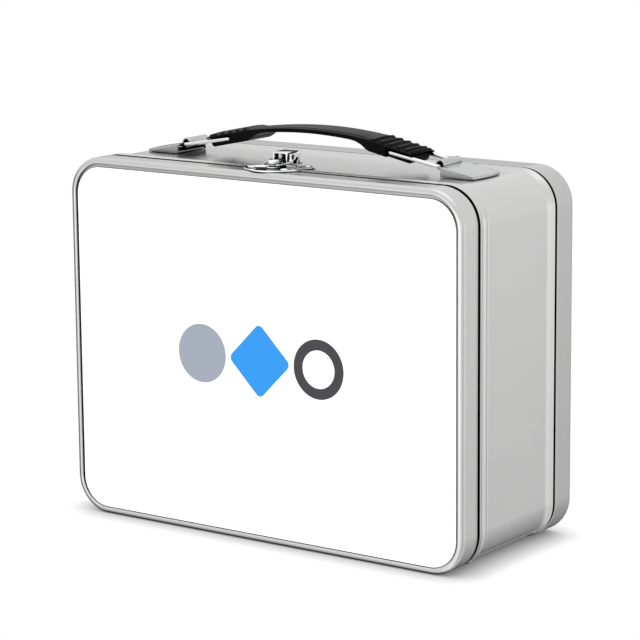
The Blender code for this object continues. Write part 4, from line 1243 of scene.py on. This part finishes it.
def build_stage():
    """The plain floor, seen by the camera only."""
    builder = bmesh.new()
    bmesh.ops.create_grid(builder, x_segments=2, y_segments=2, size=FLOOR_HALF)
    floor = new_object("floor", builder)
    floor.data.materials.append(floor_material())
    floor.visible_glossy = False
    floor.visible_diffuse = False
    floor.visible_transmission = False


def add_lights():
    """Large soft lamps that leave no reflections."""
    aim = (cad_low + cad_high) / 2.0
    for name, place, watts in LIGHTS:
        data = bpy.data.lights.new(name, "AREA")
        data.shape = "DISK"
        data.size = LIGHT_SIZE
        data.energy = watts
        light = bpy.data.objects.new(name, data)
        light.location = place
        light.visible_glossy = False
        light.rotation_euler = (aim - Vector(place)).to_track_quat("-Z", "Y").to_euler()
        bpy.context.scene.collection.objects.link(light)


def add_camera():
    """The camera, aimed by yaw, pitch and roll."""
    data = bpy.data.cameras.new("camera")
    data.lens = CAMERA_LENS
    data.sensor_width = SENSOR_WIDTH
    camera = bpy.data.objects.new("camera", data)
    bpy.context.scene.collection.objects.link(camera)
    yaw = Matrix.Rotation(math.radians(CAMERA_YAW), 4, "Z")
    pitch = Matrix.Rotation(math.radians(90.0 + CAMERA_PITCH), 4, "X")
    roll = Matrix.Rotation(math.radians(CAMERA_ROLL), 4, "Z")
    camera.matrix_world = Matrix.Translation(CAMERA_PLACE) @ yaw @ pitch @ roll
    bpy.context.scene.camera = camera


# ---- assembly

def build_prints():
    """A plain motif of a disc, a diamond and a ring, in place of lettering."""
    grey_ink = printed_ink("ink_grey", (0.27, 0.30, 0.36))
    print_film("print_disc", grey_ink, circle((-PRINT_SPACING, 0.0), PRINT_RADIUS, 64))
    reach = DIAMOND_REACH - DIAMOND_ROUNDING * math.sqrt(2.0)
    diamond = []
    for index, (x, z) in enumerate(((reach, 0.0), (0.0, reach), (-reach, 0.0), (0.0, -reach))):
        aim = 90.0 * index
        diamond += arc(x, z, DIAMOND_ROUNDING, aim - 45.0, aim + 45.0, 8)
    print_film("print_diamond", printed_ink("ink_blue", (0.002, 0.24, 0.69)), diamond)
    charcoal = printed_ink("ink_charcoal", (0.024, 0.024, 0.032))
    outer, inner = (circle((PRINT_SPACING, 0.0), radius, 64) for radius in (PRINT_RADIUS, PRINT_HOLE))
    print_film("print_ring", charcoal, outer, inner)


def build_box():
    build_lid(tinplate("tinplate_lid", 0.60, dark=0.12))
    build_band(tinplate("tinplate_band", 0.62, gaps=BAND_SHADED_GAPS))
    build_cover(tinplate("tinplate_cover", 0.52, gaps=COVER_SHADED_GAPS))
    build_panel(white_coating())
    build_prints()


def build_hardware():
    chrome = plated("chrome_plate", 0.82, 0.07)
    satin = plated("nickel_plate", 0.5, 0.2)
    for side, sign in (("left", -1.0), ("right", 1.0)):
        build_bracket(side, sign, satin)
        build_ring(side, sign, chrome)
        for row in ("front", "rear"):
            build_rivet(f"bracket_rivet_{side}_{row}", chrome, "box")
        build_rivet(f"catch_rivet_{side}", chrome, "lid")
        build_rivet(f"latch_rivet_{side}", chrome, "box")
    build_catch_plate(chrome)
    build_stud(chrome)
    build_latch_base(chrome)
    build_latch_pin(chrome)
    build_lever(chrome)
    build_grip(black_plastic())


def dress_hinges():
    """The hinges keep their CAD meshes, with slightly rounded edges."""
    steel = tinplate("hinge_steel", 0.5, 0.36)
    for side in ("left", "right"):
        for node in (f"hinge_body_leaf_{side}", f"hinge_lid_leaf_{side}", f"hinge_pin_{side}"):
            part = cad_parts[node]
            part.data.materials.clear()
            part.data.materials.append(steel)
            rounding = part.modifiers.new("edge_rounding", "BEVEL")
            rounding.width = 0.08 * MM
            rounding.segments = 2


build_box()
build_hardware()
dress_hinges()
build_world()
build_stage()
add_lights()
add_camera()
bpy.context.scene.view_settings.view_transform = "Standard"
